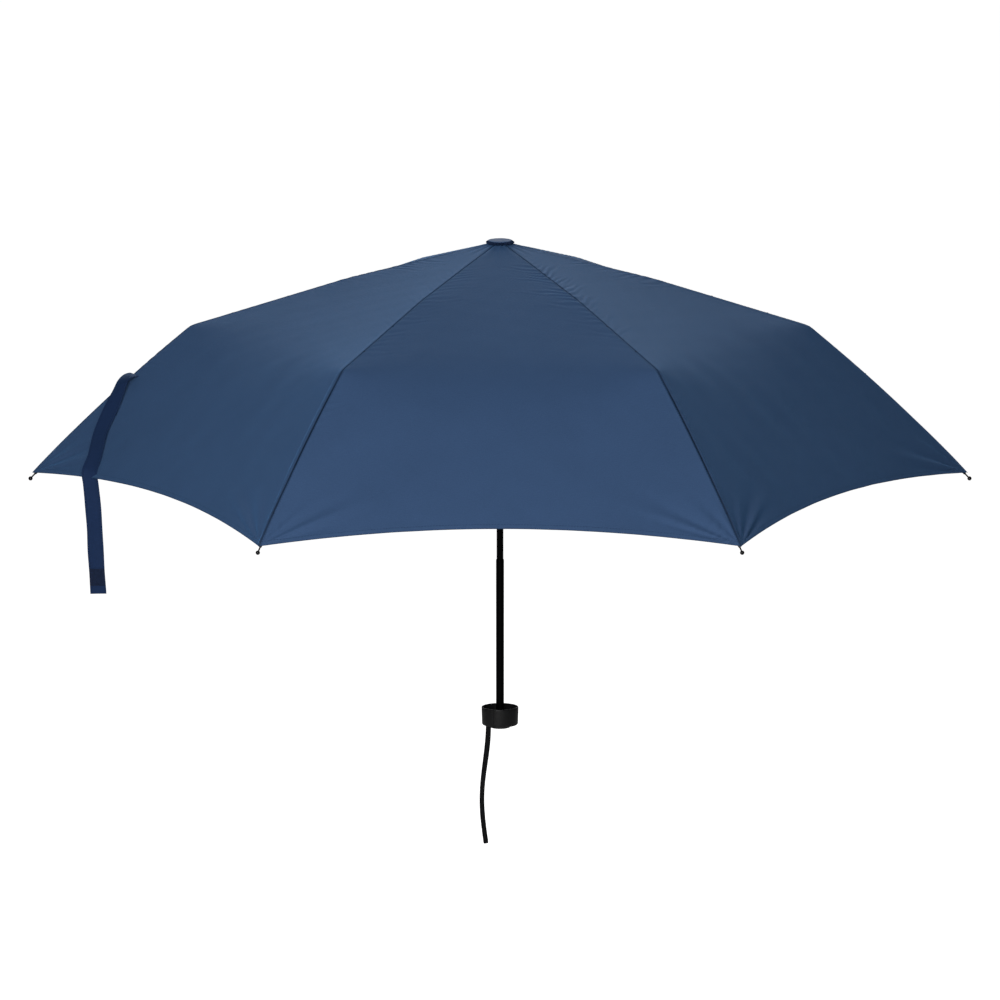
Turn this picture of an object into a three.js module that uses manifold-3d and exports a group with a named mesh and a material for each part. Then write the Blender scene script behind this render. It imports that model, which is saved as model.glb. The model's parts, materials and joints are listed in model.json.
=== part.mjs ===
// Compact folding umbrella, open: a three-section shaft, six three-part ribs and a six-panel canopy.
// Millimetres, +Z up. The origin is the middle of the handle's underside, on the shaft's axis.
// Every rib folds in a plane through the shaft: x runs outwards and z upwards in that plane.

import * as THREE from "three";
import { mergeVertices } from "three/addons/utils/BufferGeometryUtils.js";
import Module from "manifold-3d";

const wasm = await Module();
wasm.setup();

const DEGREE = Math.PI / 180;
const RIB_COUNT = 6;
const SECTOR = 360 / RIB_COUNT;
const ROUND = 28; // sides of the large turned parts
const COLLAR_SIDES = 18;
const TUBE_SIDES = 20;
const PIN_SIDES = 6;

// Handle cup, which takes the rib tips when the umbrella is closed, and its base.
const CUP_RADIUS = 18.5;
const CUP_BOTTOM = 3;
const CUP_RIM = 21.4;
const CUP_FLOOR = 8.5;
const CUP_WALL = 1.5;
const BASE_RADIUS = 10.9;
const SPIGOT_RADIUS = 7;
const MOULD_LINE_ANGLE = -109;

// Wrist loop: a ribbon through a slot under the cup, round a short radial pin.
const LOOP_ANGLE = 212;
const LOOP_RADIUS = 13.7;
const LOOP_WIDTH = 4.8;
const LOOP_THICKNESS = 1.2;
const LOOP_DROP = 114;
const LOOP_SPREAD = 1.5;
const LOOP_PIN_HEIGHT = 3.9;
const LOOP_PIN_RADIUS = 0.8;
const SLOT = { width: 5, length: 9, depth: 4 };

// Shaft: each tube slides in the one below it. The lowest is fixed in the handle.
const LOWER_TUBE = { radius: 4, wall: 0.5, bottom: 5.5, top: 171.3 };
const MIDDLE_TUBE = { radius: 3.4, wall: 0.4, bottom: 146.3, top: 306.3 };
const TOP_TUBE = { radius: 2.8, wall: 0.4, bottom: 281.3, top: 491 };
const BUTTON = { radius: 1.1, hole: 1.35, rise: 11 };

// Crown and runner: slotted collars, each with a ring of wire that the struts turn on.
const PIVOT_RADIUS = 7.5;
const CROWN_HEIGHT = 488.65;
const COLLAR_RADIUS = 10;
const COLLAR_HALF = 2.2;
const CROWN_TOP = 1.6;
const WIRE_RADIUS = 0.45;
const GROOVE_RADIUS = 0.6;
const STRUT_SLOT = 1.8;
const RUNNER_BORE = 4.3;
const RUNNER_SLEEVE = 5.5;
const RUNNER_TAIL = 26;

// Ribs: lengths from pivot to pivot, and slopes below the horizontal.
const INNER_LENGTH = 150;
const MIDDLE_LENGTH = 161;
const OUTER_LENGTH = 222;
const INNER_SLOPE = 13.9 * DEGREE;
const MIDDLE_SLOPE = 17 * DEGREE;
const OUTER_SLOPE = 39.2 * DEGREE;
const OUTER_BOW = 8 * DEGREE;
const RIB_HALF = 1; // half the height of the rib's channel
const RIB_WIDTH = 3.2;
const RIB_SHEET = 0.45;
const TONGUE = 1.4;
const EYE = 1.2;
const PIVOT_RISE = 1.3; // each rib pivot stands this far off its channel's middle
const ROD_RISE = 1.6;
const ROD_RADIUS = 0.9;
const RIVET = { radius: 0.5, hole: 0.78, reach: 1.9 };
const STRETCHER_AT = 80;
const STRETCHER_DROP = 2.2;
const STRETCHER_HALF = 0.9;
const STRETCHER_LENGTH = Math.hypot(STRETCHER_AT, STRETCHER_DROP);
const STRETCHER_SLOPE = INNER_SLOPE + Math.atan2(STRETCHER_DROP, STRETCHER_AT);
const RUNNER_HEIGHT = CROWN_HEIGHT - 2 * STRETCHER_LENGTH * Math.sin(STRETCHER_SLOPE);
const BALL_RADIUS = 1.7;
const BALL_NECK = 8;

// Canopy: the cloth lies this far over the ribs, and its hem rises between them.
const CLOTH_RISE = 3.7;
const CLOTH_RISE_AT_TIP = 3;
const CLOTH = 0.8;
const CLOTH_GAP = 0.4;
const CLOTH_START = 2.2;
const HEM_SHORT = 7;
const HEM_SCALLOP = 28;

// Closure strap, sewn beside the seam of the left rib.
const STRAP_RIB = 4;
const STRAP_WIDTH = 15;
const STRAP_THICKNESS = 1;
const STRAP_RISE = 2.4;
const STRAP_HANG = 108;
const PATCH = { length: 18, above: 7, thickness: 1.2 };

const GAP = 0.3;

const umbrella = new THREE.Group();

// Turning and joining solids

function toSolid(geometry) {
  const bare = geometry.clone();
  bare.deleteAttribute("normal");
  bare.deleteAttribute("uv");
  const merged = mergeVertices(bare);
  return new wasm.Manifold(new wasm.Mesh({
    numProp: 3,
    vertProperties: new Float32Array(merged.attributes.position.array),
    triVerts: new Uint32Array(merged.index.array),
  }));
}

function toGeometry(solid) {
  const mesh = solid.getMesh();
  const geometry = new THREE.BufferGeometry();
  geometry.setAttribute("position", new THREE.BufferAttribute(mesh.vertProperties, 3));
  geometry.setIndex(new THREE.BufferAttribute(mesh.triVerts, 1));
  geometry.computeVertexNormals();
  return geometry;
}

const join = (solids) => solids.reduce((whole, solid) => whole.add(solid));
const cut = (whole, solids) => solids.reduce((left, solid) => left.subtract(solid), whole);

function turned(profile, sides = ROUND) {
  const points = profile.map(([radius, height]) => new THREE.Vector2(radius, height));
  return toSolid(new THREE.LatheGeometry(points, sides).rotateX(Math.PI / 2));
}

function block(x, y, z, width, depth, height, angle = 0) {
  const box = new THREE.BoxGeometry(width, depth, height).translate(x, y, z);
  return toSolid(box.rotateZ(angle * DEGREE));
}

function wireRing(thickness, height) {
  const torus = new THREE.TorusGeometry(PIVOT_RADIUS, thickness, 5, 18);
  return toSolid(torus.translate(0, 0, height));
}

// Flat pieces in a rib's plane, spread across it from y = near to y = far

function plate(outline, near, far) {
  const shape = new THREE.Shape(outline.map(([x, z]) => new THREE.Vector2(x, z)));
  const slab = new THREE.ExtrudeGeometry(shape, { depth: far - near, bevelEnabled: false });
  return toSolid(slab.rotateX(Math.PI / 2).translate(0, far, 0));
}

const band = (start, end, low, high) => [[start, low], [end, low], [end, high], [start, high]];

function capsule([x0, z0], [x1, z1], radius) {
  const heading = Math.atan2(z1 - z0, x1 - x0);
  const steps = 3;
  const arc = (x, z, from) => Array.from({ length: steps + 1 }, (_, i) => {
    const angle = from + Math.PI * i / steps;
    return [x + radius * Math.cos(angle), z + radius * Math.sin(angle)];
  });
  return [...arc(x1, z1, heading - Math.PI / 2), ...arc(x0, z0, heading + Math.PI / 2)];
}

function pin(x, z, radius, near, far) {
  const cylinder = new THREE.CylinderGeometry(radius, radius, far - near, PIN_SIDES);
  return toSolid(cylinder.translate(x, (near + far) / 2, z));
}

function bothSides(outline) {
  const edge = RIB_WIDTH / 2;
  return [plate(outline, edge - RIB_SHEET, edge), plate(outline, -edge, RIB_SHEET - edge)];
}

// A folded-sheet channel along x, open on its lower side, or on its upper side when open is 1.
function channel(start, end, middle, half, open = -1) {
  const edge = RIB_WIDTH / 2;
  const inside = edge - RIB_SHEET;
  const [mouth, back] = [middle + open * half, middle - open * half];
  const floor = back + open * RIB_SHEET;
  const outline = [
    [-edge, mouth], [-edge, back], [edge, back], [edge, mouth],
    [inside, mouth], [inside, floor], [-inside, floor], [-inside, mouth],
  ];
  const shape = new THREE.Shape(outline.map(([y, z]) => new THREE.Vector2(y, z)));
  const rail = new THREE.ExtrudeGeometry(shape, { depth: end - start, bevelEnabled: false });
  const alongX = new THREE.Matrix4().makeBasis(
    new THREE.Vector3(0, 1, 0), new THREE.Vector3(0, 0, 1), new THREE.Vector3(1, 0, 0));
  return toSolid(rail.applyMatrix4(alongX).translate(start, 0, 0));
}

const rivet = (x, z) => pin(x, z, RIVET.radius, -RIVET.reach, RIVET.reach);
const tongue = (from, to) => plate(capsule(from, to, RIB_HALF), -TONGUE / 2, TONGUE / 2);
const eyeHole = (x, z) => pin(x, z, RIVET.hole, -TONGUE, TONGUE);

// Colours

const PLASTIC = { color: 0x1f1f20, roughness: 0.45, metalness: 0 };
const BLACK_STEEL = { color: 0x0b0b0c, roughness: 0.35, metalness: 0.6 };
const RIB_STEEL = { color: 0x6d7074, roughness: 0.35, metalness: 0.9 };
const BRIGHT_WIRE = { color: 0xa9abad, roughness: 0.3, metalness: 1 };
const NAVY_CLOTH = { color: 0x33486a, roughness: 0.75, metalness: 0 };
const STRAP_CLOTH = { color: 0x1c2e50, roughness: 0.8, metalness: 0 };
const CAP_BLUE = { color: 0x4b6287, roughness: 0.5, metalness: 0 };
const BLACK_WEB = { color: 0x0f0f10, roughness: 0.8, metalness: 0 };

function node(name, shape, look, parent = umbrella) {
  const geometry = shape.isBufferGeometry ? shape : toGeometry(shape);
  const mesh = new THREE.Mesh(geometry, new THREE.MeshStandardMaterial(look));
  mesh.name = name;
  parent.add(mesh);
  return mesh;
}

// Handle

function handleCup() {
  const lip = CUP_RADIUS - CUP_WALL / 2;
  const body = turned([
    [SPIGOT_RADIUS + 0.2, CUP_BOTTOM], [CUP_RADIUS - 1.8, CUP_BOTTOM], [CUP_RADIUS - 0.7, CUP_BOTTOM + 0.7],
    [CUP_RADIUS - 0.4, CUP_BOTTOM + 1.8], [CUP_RADIUS, CUP_RIM - 2], [CUP_RADIUS - 0.25, CUP_RIM - 0.5],
    [lip, CUP_RIM], [CUP_RADIUS - CUP_WALL + 0.2, CUP_RIM - 0.4], [CUP_RADIUS - CUP_WALL, CUP_RIM - 1.2],
    [CUP_RADIUS - CUP_WALL - 0.3, CUP_FLOOR + 1], [CUP_RADIUS - CUP_WALL - 1.2, CUP_FLOOR],
    [6.2, CUP_FLOOR], [5.6, CUP_FLOOR + 3.5], [LOWER_TUBE.radius + 0.1, CUP_FLOOR + 3.5],
    [LOWER_TUBE.radius + 0.1, LOWER_TUBE.bottom - 0.1], [SPIGOT_RADIUS + 0.2, LOWER_TUBE.bottom - 0.1],
    [SPIGOT_RADIUS + 0.2, CUP_BOTTOM],
  ]);
  const slot = block(LOOP_RADIUS, 0, CUP_BOTTOM + SLOT.depth / 2 - 0.5, SLOT.width, SLOT.length, SLOT.depth + 1, LOOP_ANGLE);
  const line = block(CUP_RADIUS, 0, (CUP_BOTTOM + CUP_RIM) / 2, 0.5, 0.3, CUP_RIM, MOULD_LINE_ANGLE);
  return cut(body, [slot, line]);
}

function handleBase() {
  return turned([
    [0, 0], [BASE_RADIUS - 2, 0], [BASE_RADIUS - 0.7, 0.5], [BASE_RADIUS, 1.6], [BASE_RADIUS, CUP_BOTTOM - 0.05],
    [SPIGOT_RADIUS, CUP_BOTTOM - 0.05], [SPIGOT_RADIUS, LOWER_TUBE.bottom - 0.3], [0, LOWER_TUBE.bottom - 0.3],
  ]);
}

function wristPin() {
  const rod = new THREE.CylinderGeometry(LOOP_PIN_RADIUS, LOOP_PIN_RADIUS, SLOT.width - 0.1, PIN_SIDES);
  rod.rotateZ(Math.PI / 2).translate(LOOP_RADIUS, 0, LOOP_PIN_HEIGHT);
  return toSolid(rod.rotateZ(LOOP_ANGLE * DEGREE));
}

// The loop hangs from the slot, leans to the left half-way down and turns back up at its foot.
class WristLoop extends THREE.Curve {
  getPoint(t) {
    const foot = 0.46;
    const across = new THREE.Vector3(-Math.sin(LOOP_ANGLE * DEGREE), Math.cos(LOOP_ANGLE * DEGREE), 0);
    const top = new THREE.Vector3(Math.cos(LOOP_ANGLE * DEGREE), Math.sin(LOOP_ANGLE * DEGREE), 0)
      .multiplyScalar(LOOP_RADIUS);
    const side = t < 0.5 ? -1 : 1;
    const along = Math.min(t, 1 - t);
    const turn = Math.max(0, (along - foot) / (0.5 - foot)) * Math.PI / 2;
    const drop = Math.min(along / foot, 1);
    const spread = LOOP_SPREAD + 1.4 * Math.sin(Math.PI * drop) ** 2;
    const depth = drop * (LOOP_DROP - LOOP_SPREAD) + LOOP_SPREAD * Math.sin(turn);
    const lean = -6.5 * Math.sin(Math.PI * 0.78 * drop) ** 2;
    return top.addScaledVector(across, side * spread * Math.cos(turn))
      .add(new THREE.Vector3(lean, 0, LOOP_PIN_HEIGHT - depth));
  }
}

function ribbonSection(width, thickness) {
  const corner = thickness * 0.4;
  const [w, h] = [width / 2, thickness / 2];
  return [
    [w - corner, -h], [w, corner - h], [w, h - corner], [w - corner, h],
    [corner - w, h], [-w, h - corner], [-w, corner - h], [corner - w, -h],
  ];
}

// A convex outline swept along a path. Its x stays as near as it can to the direction called side.
function swept(path, outline, rows, side, from = 0, to = 1) {
  const points = [];
  for (let row = 0; row <= rows; row += 1) {
    const t = from + (to - from) * row / rows;
    const tangent = path.getTangentAt(t);
    const x = side.clone().addScaledVector(tangent, -side.dot(tangent)).normalize();
    const y = new THREE.Vector3().crossVectors(x, tangent);
    for (const [across, lift] of outline) {
      points.push(...path.getPointAt(t).addScaledVector(x, across).addScaledVector(y, lift).toArray());
    }
  }
  const count = outline.length;
  const last = rows * count;
  const triangles = [];
  for (let k = 0; k < count; k += 1) {
    const next = (k + 1) % count;
    for (let base = 0; base < last; base += count) {
      triangles.push(base + k, base + count + k, base + count + next);
      triangles.push(base + k, base + count + next, base + next);
    }
    if (k > 0 && next > 0) {
      triangles.push(0, k, next, last, last + next, last + k);
    }
  }
  const geometry = new THREE.BufferGeometry();
  geometry.setAttribute("position", new THREE.Float32BufferAttribute(points, 3));
  geometry.setIndex(triangles);
  return toSolid(geometry);
}

// Shaft

function tube({ radius, wall, bottom, top }) {
  const inside = radius - wall;
  const outline = [[inside, bottom], [radius, bottom], [radius, top], [inside, top], [inside, bottom]];
  return turned(outline, TUBE_SIDES);
}

function buttonHole(height) {
  const hole = new THREE.CylinderGeometry(BUTTON.hole, BUTTON.hole, 6, 12).translate(0, 4, height);
  return toSolid(hole);
}

function button(outer, height) {
  const length = outer.radius + 0.3 - (outer.radius - outer.wall - 1.4);
  const middle = outer.radius + 0.3 - length / 2;
  const body = new THREE.CylinderGeometry(BUTTON.radius * 0.8, BUTTON.radius, length, 12);
  return toSolid(body.translate(0, middle, height));
}

// Crown, runner, catch and cap

function strutSlots(height) {
  return Array.from({ length: RIB_COUNT }, (_, i) =>
    block(PIVOT_RADIUS + 2.2, 0, height, 7.4, STRUT_SLOT, 8, i * SECTOR));
}

function crown() {
  const bore = TOP_TUBE.radius + 0.1;
  const body = turned([
    [bore, CROWN_HEIGHT - 12], [4.3, CROWN_HEIGHT - 12], [4.3, CROWN_HEIGHT - COLLAR_HALF - 1],
    [5.3, CROWN_HEIGHT - COLLAR_HALF], [COLLAR_RADIUS, CROWN_HEIGHT - COLLAR_HALF],
    [COLLAR_RADIUS, CROWN_HEIGHT + CROWN_TOP], [bore, CROWN_HEIGHT + CROWN_TOP], [bore, CROWN_HEIGHT - 12],
  ], COLLAR_SIDES);
  return cut(body, [...strutSlots(CROWN_HEIGHT), wireRing(GROOVE_RADIUS, CROWN_HEIGHT)]);
}

function runner() {
  const low = RUNNER_HEIGHT - RUNNER_TAIL;
  const body = turned([
    [RUNNER_BORE, low], [RUNNER_SLEEVE + 2.4, low], [RUNNER_SLEEVE + 2, low + 3], [RUNNER_SLEEVE, low + 4],
    [RUNNER_SLEEVE, RUNNER_HEIGHT - COLLAR_HALF], [COLLAR_RADIUS, RUNNER_HEIGHT - COLLAR_HALF],
    [COLLAR_RADIUS, RUNNER_HEIGHT + COLLAR_HALF], [RUNNER_SLEEVE, RUNNER_HEIGHT + COLLAR_HALF],
    [RUNNER_SLEEVE, RUNNER_HEIGHT + 6], [RUNNER_BORE, RUNNER_HEIGHT + 6], [RUNNER_BORE, low],
  ], COLLAR_SIDES);
  return cut(body, [...strutSlots(RUNNER_HEIGHT), wireRing(GROOVE_RADIUS, RUNNER_HEIGHT)]);
}

function runnerCatch() {
  const top = RUNNER_HEIGHT - RUNNER_TAIL - GAP;
  const wedge = [[3, top - 13], [5.6, top - 1.2], [5.6, top], [3, top]];
  return toSolid(toGeometry(plate(wedge, -0.8, 0.8)).rotateZ(Math.PI / 2));
}

const RUFFLE = { inside: 3.4, radius: 14.1, bottom: 491.9, top: 496 };
const CAP = { radius: 9.6, stem: 3, bottom: 491.3, top: 498.3 };

function capRuffle() {
  const middle = (RUFFLE.bottom + RUFFLE.top) / 2;
  return turned([
    [RUFFLE.inside, RUFFLE.bottom + 0.4], [RUFFLE.radius - 1.3, RUFFLE.bottom], [RUFFLE.radius - 0.2, RUFFLE.bottom + 0.8],
    [RUFFLE.radius, middle], [RUFFLE.radius - 0.8, RUFFLE.top - 0.8], [RUFFLE.inside, RUFFLE.top],
    [RUFFLE.inside, RUFFLE.bottom + 0.4],
  ]);
}

function capDisc() {
  const low = RUFFLE.top + GAP;
  return turned([
    [0, CAP.bottom], [CAP.stem, CAP.bottom], [CAP.stem, low], [CAP.radius - 0.4, low], [CAP.radius, low + 0.6],
    [CAP.radius - 0.8, CAP.top - 0.5], [CAP.radius - 2.4, CAP.top], [0, CAP.top],
  ]);
}

// Ribs. Each is drawn from its own first pivot, with x along it and z on the cloth's side.

function innerRib() {
  const end = INNER_LENGTH;
  const solids = [
    tongue([0, 0], [8, 0]),
    channel(6, end - 4.5, 0, RIB_HALF),
    ...bothSides(capsule([end - 7, 0.1], [end, PIVOT_RISE], EYE)),
    ...bothSides([[STRETCHER_AT - 4, -0.6], [STRETCHER_AT - EYE, -STRETCHER_DROP], [STRETCHER_AT - 0.8, -STRETCHER_DROP - 1],
      [STRETCHER_AT + 0.8, -STRETCHER_DROP - 1], [STRETCHER_AT + EYE, -STRETCHER_DROP], [STRETCHER_AT + 4, -0.6]]),
    rivet(end, PIVOT_RISE),
    rivet(STRETCHER_AT, -STRETCHER_DROP),
  ];
  return cut(join(solids), [eyeHole(0, 0)]);
}

function middleRib() {
  const end = MIDDLE_LENGTH;
  const solids = [
    tongue([0, 0], [6.5, -PIVOT_RISE]),
    channel(5, end - 6, -PIVOT_RISE, RIB_HALF),
    ...bothSides(capsule([end - 8, -PIVOT_RISE - 0.1], [end, -2 * PIVOT_RISE], EYE)),
    rivet(end, -2 * PIVOT_RISE),
  ];
  return cut(join(solids), [eyeHole(0, 0)]);
}

// The outer rib is one spring-steel rod, bowed downwards.
function bowPoint(distance) {
  const bend = OUTER_BOW / OUTER_LENGTH;
  return [Math.sin(bend * distance) / bend, ROD_RISE - (1 - Math.cos(bend * distance)) / bend];
}

class BowedRod extends THREE.Curve {
  getPoint(t) {
    const [x, z] = bowPoint(4 + t * (OUTER_LENGTH - BALL_NECK - 4));
    return new THREE.Vector3(x, 0, z);
  }
}

function outerRib() {
  const section = new THREE.Shape(Array.from({ length: 6 }, (_, i) => {
    const angle = (i + 0.5) * Math.PI / 3;
    return new THREE.Vector2(ROD_RADIUS * Math.cos(angle), ROD_RADIUS * Math.sin(angle));
  }));
  const rod = new THREE.ExtrudeGeometry(section, { steps: 8, bevelEnabled: false, extrudePath: new BowedRod() });
  const solids = [tongue([0, 0], [7, ROD_RISE]), toSolid(rod)];
  return cut(join(solids), [eyeHole(0, 0)]);
}

function ribTip() {
  const socket = ROD_RADIUS + 0.15;
  const depth = 4;
  const ball = Array.from({ length: 5 }, (_, i) => {
    const angle = (-62 + 32 * i) * DEGREE;
    return [BALL_RADIUS * Math.cos(angle), BALL_NECK + BALL_RADIUS * Math.sin(angle)];
  });
  const profile = [
    [0, 0.3], [socket, 0.3], [socket, -depth], [1.45, -depth], [1.45, 1], [0.75, 2],
    ...ball, [0, BALL_NECK + BALL_RADIUS],
  ];
  const points = profile.map(([radius, height]) => new THREE.Vector2(radius, height));
  return toSolid(new THREE.LatheGeometry(points, 8).rotateZ(-Math.PI / 2));
}

function stretcher() {
  const end = STRETCHER_LENGTH;
  const solids = [
    tongue([0, 0], [6.5, 0]),
    channel(5, end - 6, 0, STRETCHER_HALF, 1),
    tongue([end, 0], [end - 8, 0]),
  ];
  return cut(join(solids), [eyeHole(0, 0), eyeHole(end, 0)]);
}

// Canopy. seamPoint gives the cloth's outer face over a rib, at a distance along it from the crown.

function seamPoint(distance) {
  const fall = (point, slope, length, rise) => [
    point[0] + length * Math.cos(slope) + rise * Math.sin(slope),
    point[1] - length * Math.sin(slope) + rise * Math.cos(slope),
  ];
  const crownPivot = [PIVOT_RADIUS, CROWN_HEIGHT];
  if (distance <= INNER_LENGTH) {
    return fall(crownPivot, INNER_SLOPE, distance, CLOTH_RISE);
  }
  const firstPivot = fall(crownPivot, INNER_SLOPE, INNER_LENGTH, PIVOT_RISE);
  const alongMiddle = distance - INNER_LENGTH;
  if (alongMiddle <= MIDDLE_LENGTH) {
    return fall(firstPivot, MIDDLE_SLOPE, alongMiddle, CLOTH_RISE - PIVOT_RISE);
  }
  const secondPivot = fall(firstPivot, MIDDLE_SLOPE, MIDDLE_LENGTH, -2 * PIVOT_RISE);
  const alongOuter = alongMiddle - MIDDLE_LENGTH;
  const share = alongOuter / OUTER_LENGTH;
  const [x, z] = bowPoint(alongOuter);
  const lift = (CLOTH_RISE - 0.3) * (1 - share) + CLOTH_RISE_AT_TIP * share;
  const slope = OUTER_SLOPE + OUTER_BOW * share;
  return [
    secondPivot[0] + x * Math.cos(OUTER_SLOPE) + z * Math.sin(OUTER_SLOPE) + lift * Math.sin(slope),
    secondPivot[1] - x * Math.sin(OUTER_SLOPE) + z * Math.cos(OUTER_SLOPE) + lift * Math.cos(slope),
  ];
}

const HEM_DISTANCE = INNER_LENGTH + MIDDLE_LENGTH + OUTER_LENGTH - HEM_SHORT;
const ELBOW_DISTANCE = INNER_LENGTH + MIDDLE_LENGTH + 1.5;
const hemDistance = (across) => HEM_DISTANCE - HEM_SCALLOP * (1 - across * across);

// A point on the panel between two ribs: across runs from -1 at the first rib to 1 at the second.
function panelPoint(panel, across, distance) {
  const [radius, height] = seamPoint(distance);
  const middle = (panel + 0.5) * SECTOR * DEGREE;
  const flat = radius * Math.cos(SECTOR / 2 * DEGREE);
  const half = radius * Math.sin(SECTOR / 2 * DEGREE) - CLOTH_GAP;
  const side = across * half;
  return new THREE.Vector3(
    flat * Math.cos(middle) - side * Math.sin(middle),
    flat * Math.sin(middle) + side * Math.cos(middle),
    height,
  );
}

// A closed sheet: its two faces share a grid of rows and columns and are joined round the edge.
function sheet(rows, columns, outer, inner) {
  const wide = columns + 1;
  const count = (rows + 1) * wide;
  const points = [];
  for (const face of [outer, inner]) {
    for (let row = 0; row <= rows; row += 1) {
      for (let column = 0; column <= columns; column += 1) {
        points.push(...face(row, column).toArray());
      }
    }
  }
  const triangles = [];
  const quad = (a, b, c, d) => triangles.push(a, b, c, a, c, d);
  for (let row = 0; row < rows; row += 1) {
    for (let column = 0; column < columns; column += 1) {
      const corner = row * wide + column;
      quad(corner, corner + wide, corner + wide + 1, corner + 1);
      quad(count + corner, count + corner + 1, count + corner + wide + 1, count + corner + wide);
    }
  }
  for (let row = 0; row < rows; row += 1) {
    const [left, right] = [row * wide, row * wide + columns];
    quad(left, count + left, count + left + wide, left + wide);
    quad(right, right + wide, count + right + wide, count + right);
  }
  for (let column = 0; column < columns; column += 1) {
    const [near, far] = [column, rows * wide + column];
    quad(near, near + 1, count + near + 1, count + near);
    quad(far, count + far, count + far + 1, far + 1);
  }
  const geometry = new THREE.BufferGeometry();
  geometry.setAttribute("position", new THREE.Float32BufferAttribute(points, 3));
  geometry.setIndex(triangles);
  return toSolid(geometry);
}

function panel(index) {
  const columns = 6;
  const fixedRows = [CLOTH_START, INNER_LENGTH, ELBOW_DISTANCE];
  const outerRows = 4;
  const rows = fixedRows.length - 1 + outerRows;
  const place = (row, column, lower) => {
    const across = 2 * column / columns - 1;
    const step = row - fixedRows.length + 1;
    const distance = step <= 0
      ? fixedRows[row]
      : ELBOW_DISTANCE + (hemDistance(across) - ELBOW_DISTANCE) * step / outerRows;
    const point = panelPoint(index, across, distance);
    return lower ? point.add(panelInward(index, distance).multiplyScalar(CLOTH)) : point;
  };
  return sheet(rows, columns, (row, column) => place(row, column, false), (row, column) => place(row, column, true));
}

// The direction from the panel's outer face to its inner face.
function panelInward(index, distance) {
  const reach = 4;
  const middle = (index + 0.5) * SECTOR * DEGREE;
  const [r0, z0] = seamPoint(Math.max(distance - reach, CLOTH_START));
  const [r1, z1] = seamPoint(Math.min(distance + reach, HEM_DISTANCE));
  const run = (r1 - r0) * Math.cos(SECTOR / 2 * DEGREE);
  const inward = new THREE.Vector3(-(z0 - z1) * Math.cos(middle), -(z0 - z1) * Math.sin(middle), -run);
  return inward.normalize();
}

// Closure strap: from the seam it crosses the panel, leaves it at the hem and hangs.

function strapPath() {
  const index = STRAP_RIB - 1;
  const crossing = [[-0.95, 396], [-0.87, 425], [-0.73, 462], [-0.6, 495], [-0.54, 513]];
  const points = crossing.map(([across, distance]) =>
    panelPoint(index, across, distance).addScaledVector(panelInward(index, distance), -STRAP_RISE));
  const last = points[points.length - 1];
  const hang = [18, 50, STRAP_HANG].map((drop) => last.clone().add(new THREE.Vector3(0.08 * drop, -1, -drop)));
  return new THREE.CatmullRomCurve3([...points, ...hang]);
}

// The strap's width lies in the panel, square to its path.
function strapSide() {
  const index = STRAP_RIB - 1;
  const outward = panelInward(index, INNER_LENGTH + MIDDLE_LENGTH + 60).negate();
  const path = strapPath();
  return new THREE.Vector3().crossVectors(path.getTangentAt(0.2), outward).normalize();
}

const flatSection = (width, low, high) => [
  [-width / 2, low], [width / 2, low], [width / 2, high], [-width / 2, high],
];

// Putting it together

function buildHandle() {
  node("handle_cup", handleCup(), PLASTIC);
  node("handle_base", handleBase(), PLASTIC);
  node("wrist_pin", wristPin(), BRIGHT_WIRE);
  const outwards = new THREE.Vector3(Math.cos(LOOP_ANGLE * DEGREE), Math.sin(LOOP_ANGLE * DEGREE), 0);
  node("wrist_loop", swept(new WristLoop(), ribbonSection(LOOP_WIDTH, LOOP_THICKNESS), 30, outwards), BLACK_WEB);
}

function buildShaft() {
  const lowHeight = MIDDLE_TUBE.bottom + BUTTON.rise;
  const highHeight = TOP_TUBE.bottom + BUTTON.rise;
  node("lower_tube", cut(tube(LOWER_TUBE), [buttonHole(lowHeight)]), BLACK_STEEL);
  node("middle_tube", cut(tube(MIDDLE_TUBE), [buttonHole(lowHeight), buttonHole(highHeight)]), BLACK_STEEL);
  node("top_tube", cut(tube(TOP_TUBE), [buttonHole(highHeight)]), BLACK_STEEL);
  node("lower_button", button(LOWER_TUBE, lowHeight), BRIGHT_WIRE);
  node("upper_button", button(MIDDLE_TUBE, highHeight), BRIGHT_WIRE);
}

function buildHead() {
  node("crown", crown(), PLASTIC);
  node("crown_wire", wireRing(WIRE_RADIUS, CROWN_HEIGHT), BRIGHT_WIRE);
  node("runner", runner(), PLASTIC);
  node("runner_wire", wireRing(WIRE_RADIUS, RUNNER_HEIGHT), BRIGHT_WIRE);
  node("runner_catch", runnerCatch(), BRIGHT_WIRE);
  node("cap_ruffle", capRuffle(), NAVY_CLOTH);
  node("cap_disc", capDisc(), CAP_BLUE);
}

function hinged(parent, x, z, turn) {
  const group = new THREE.Group();
  group.position.set(x, 0, z);
  group.rotation.y = turn;
  parent.add(group);
  return group;
}

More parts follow.
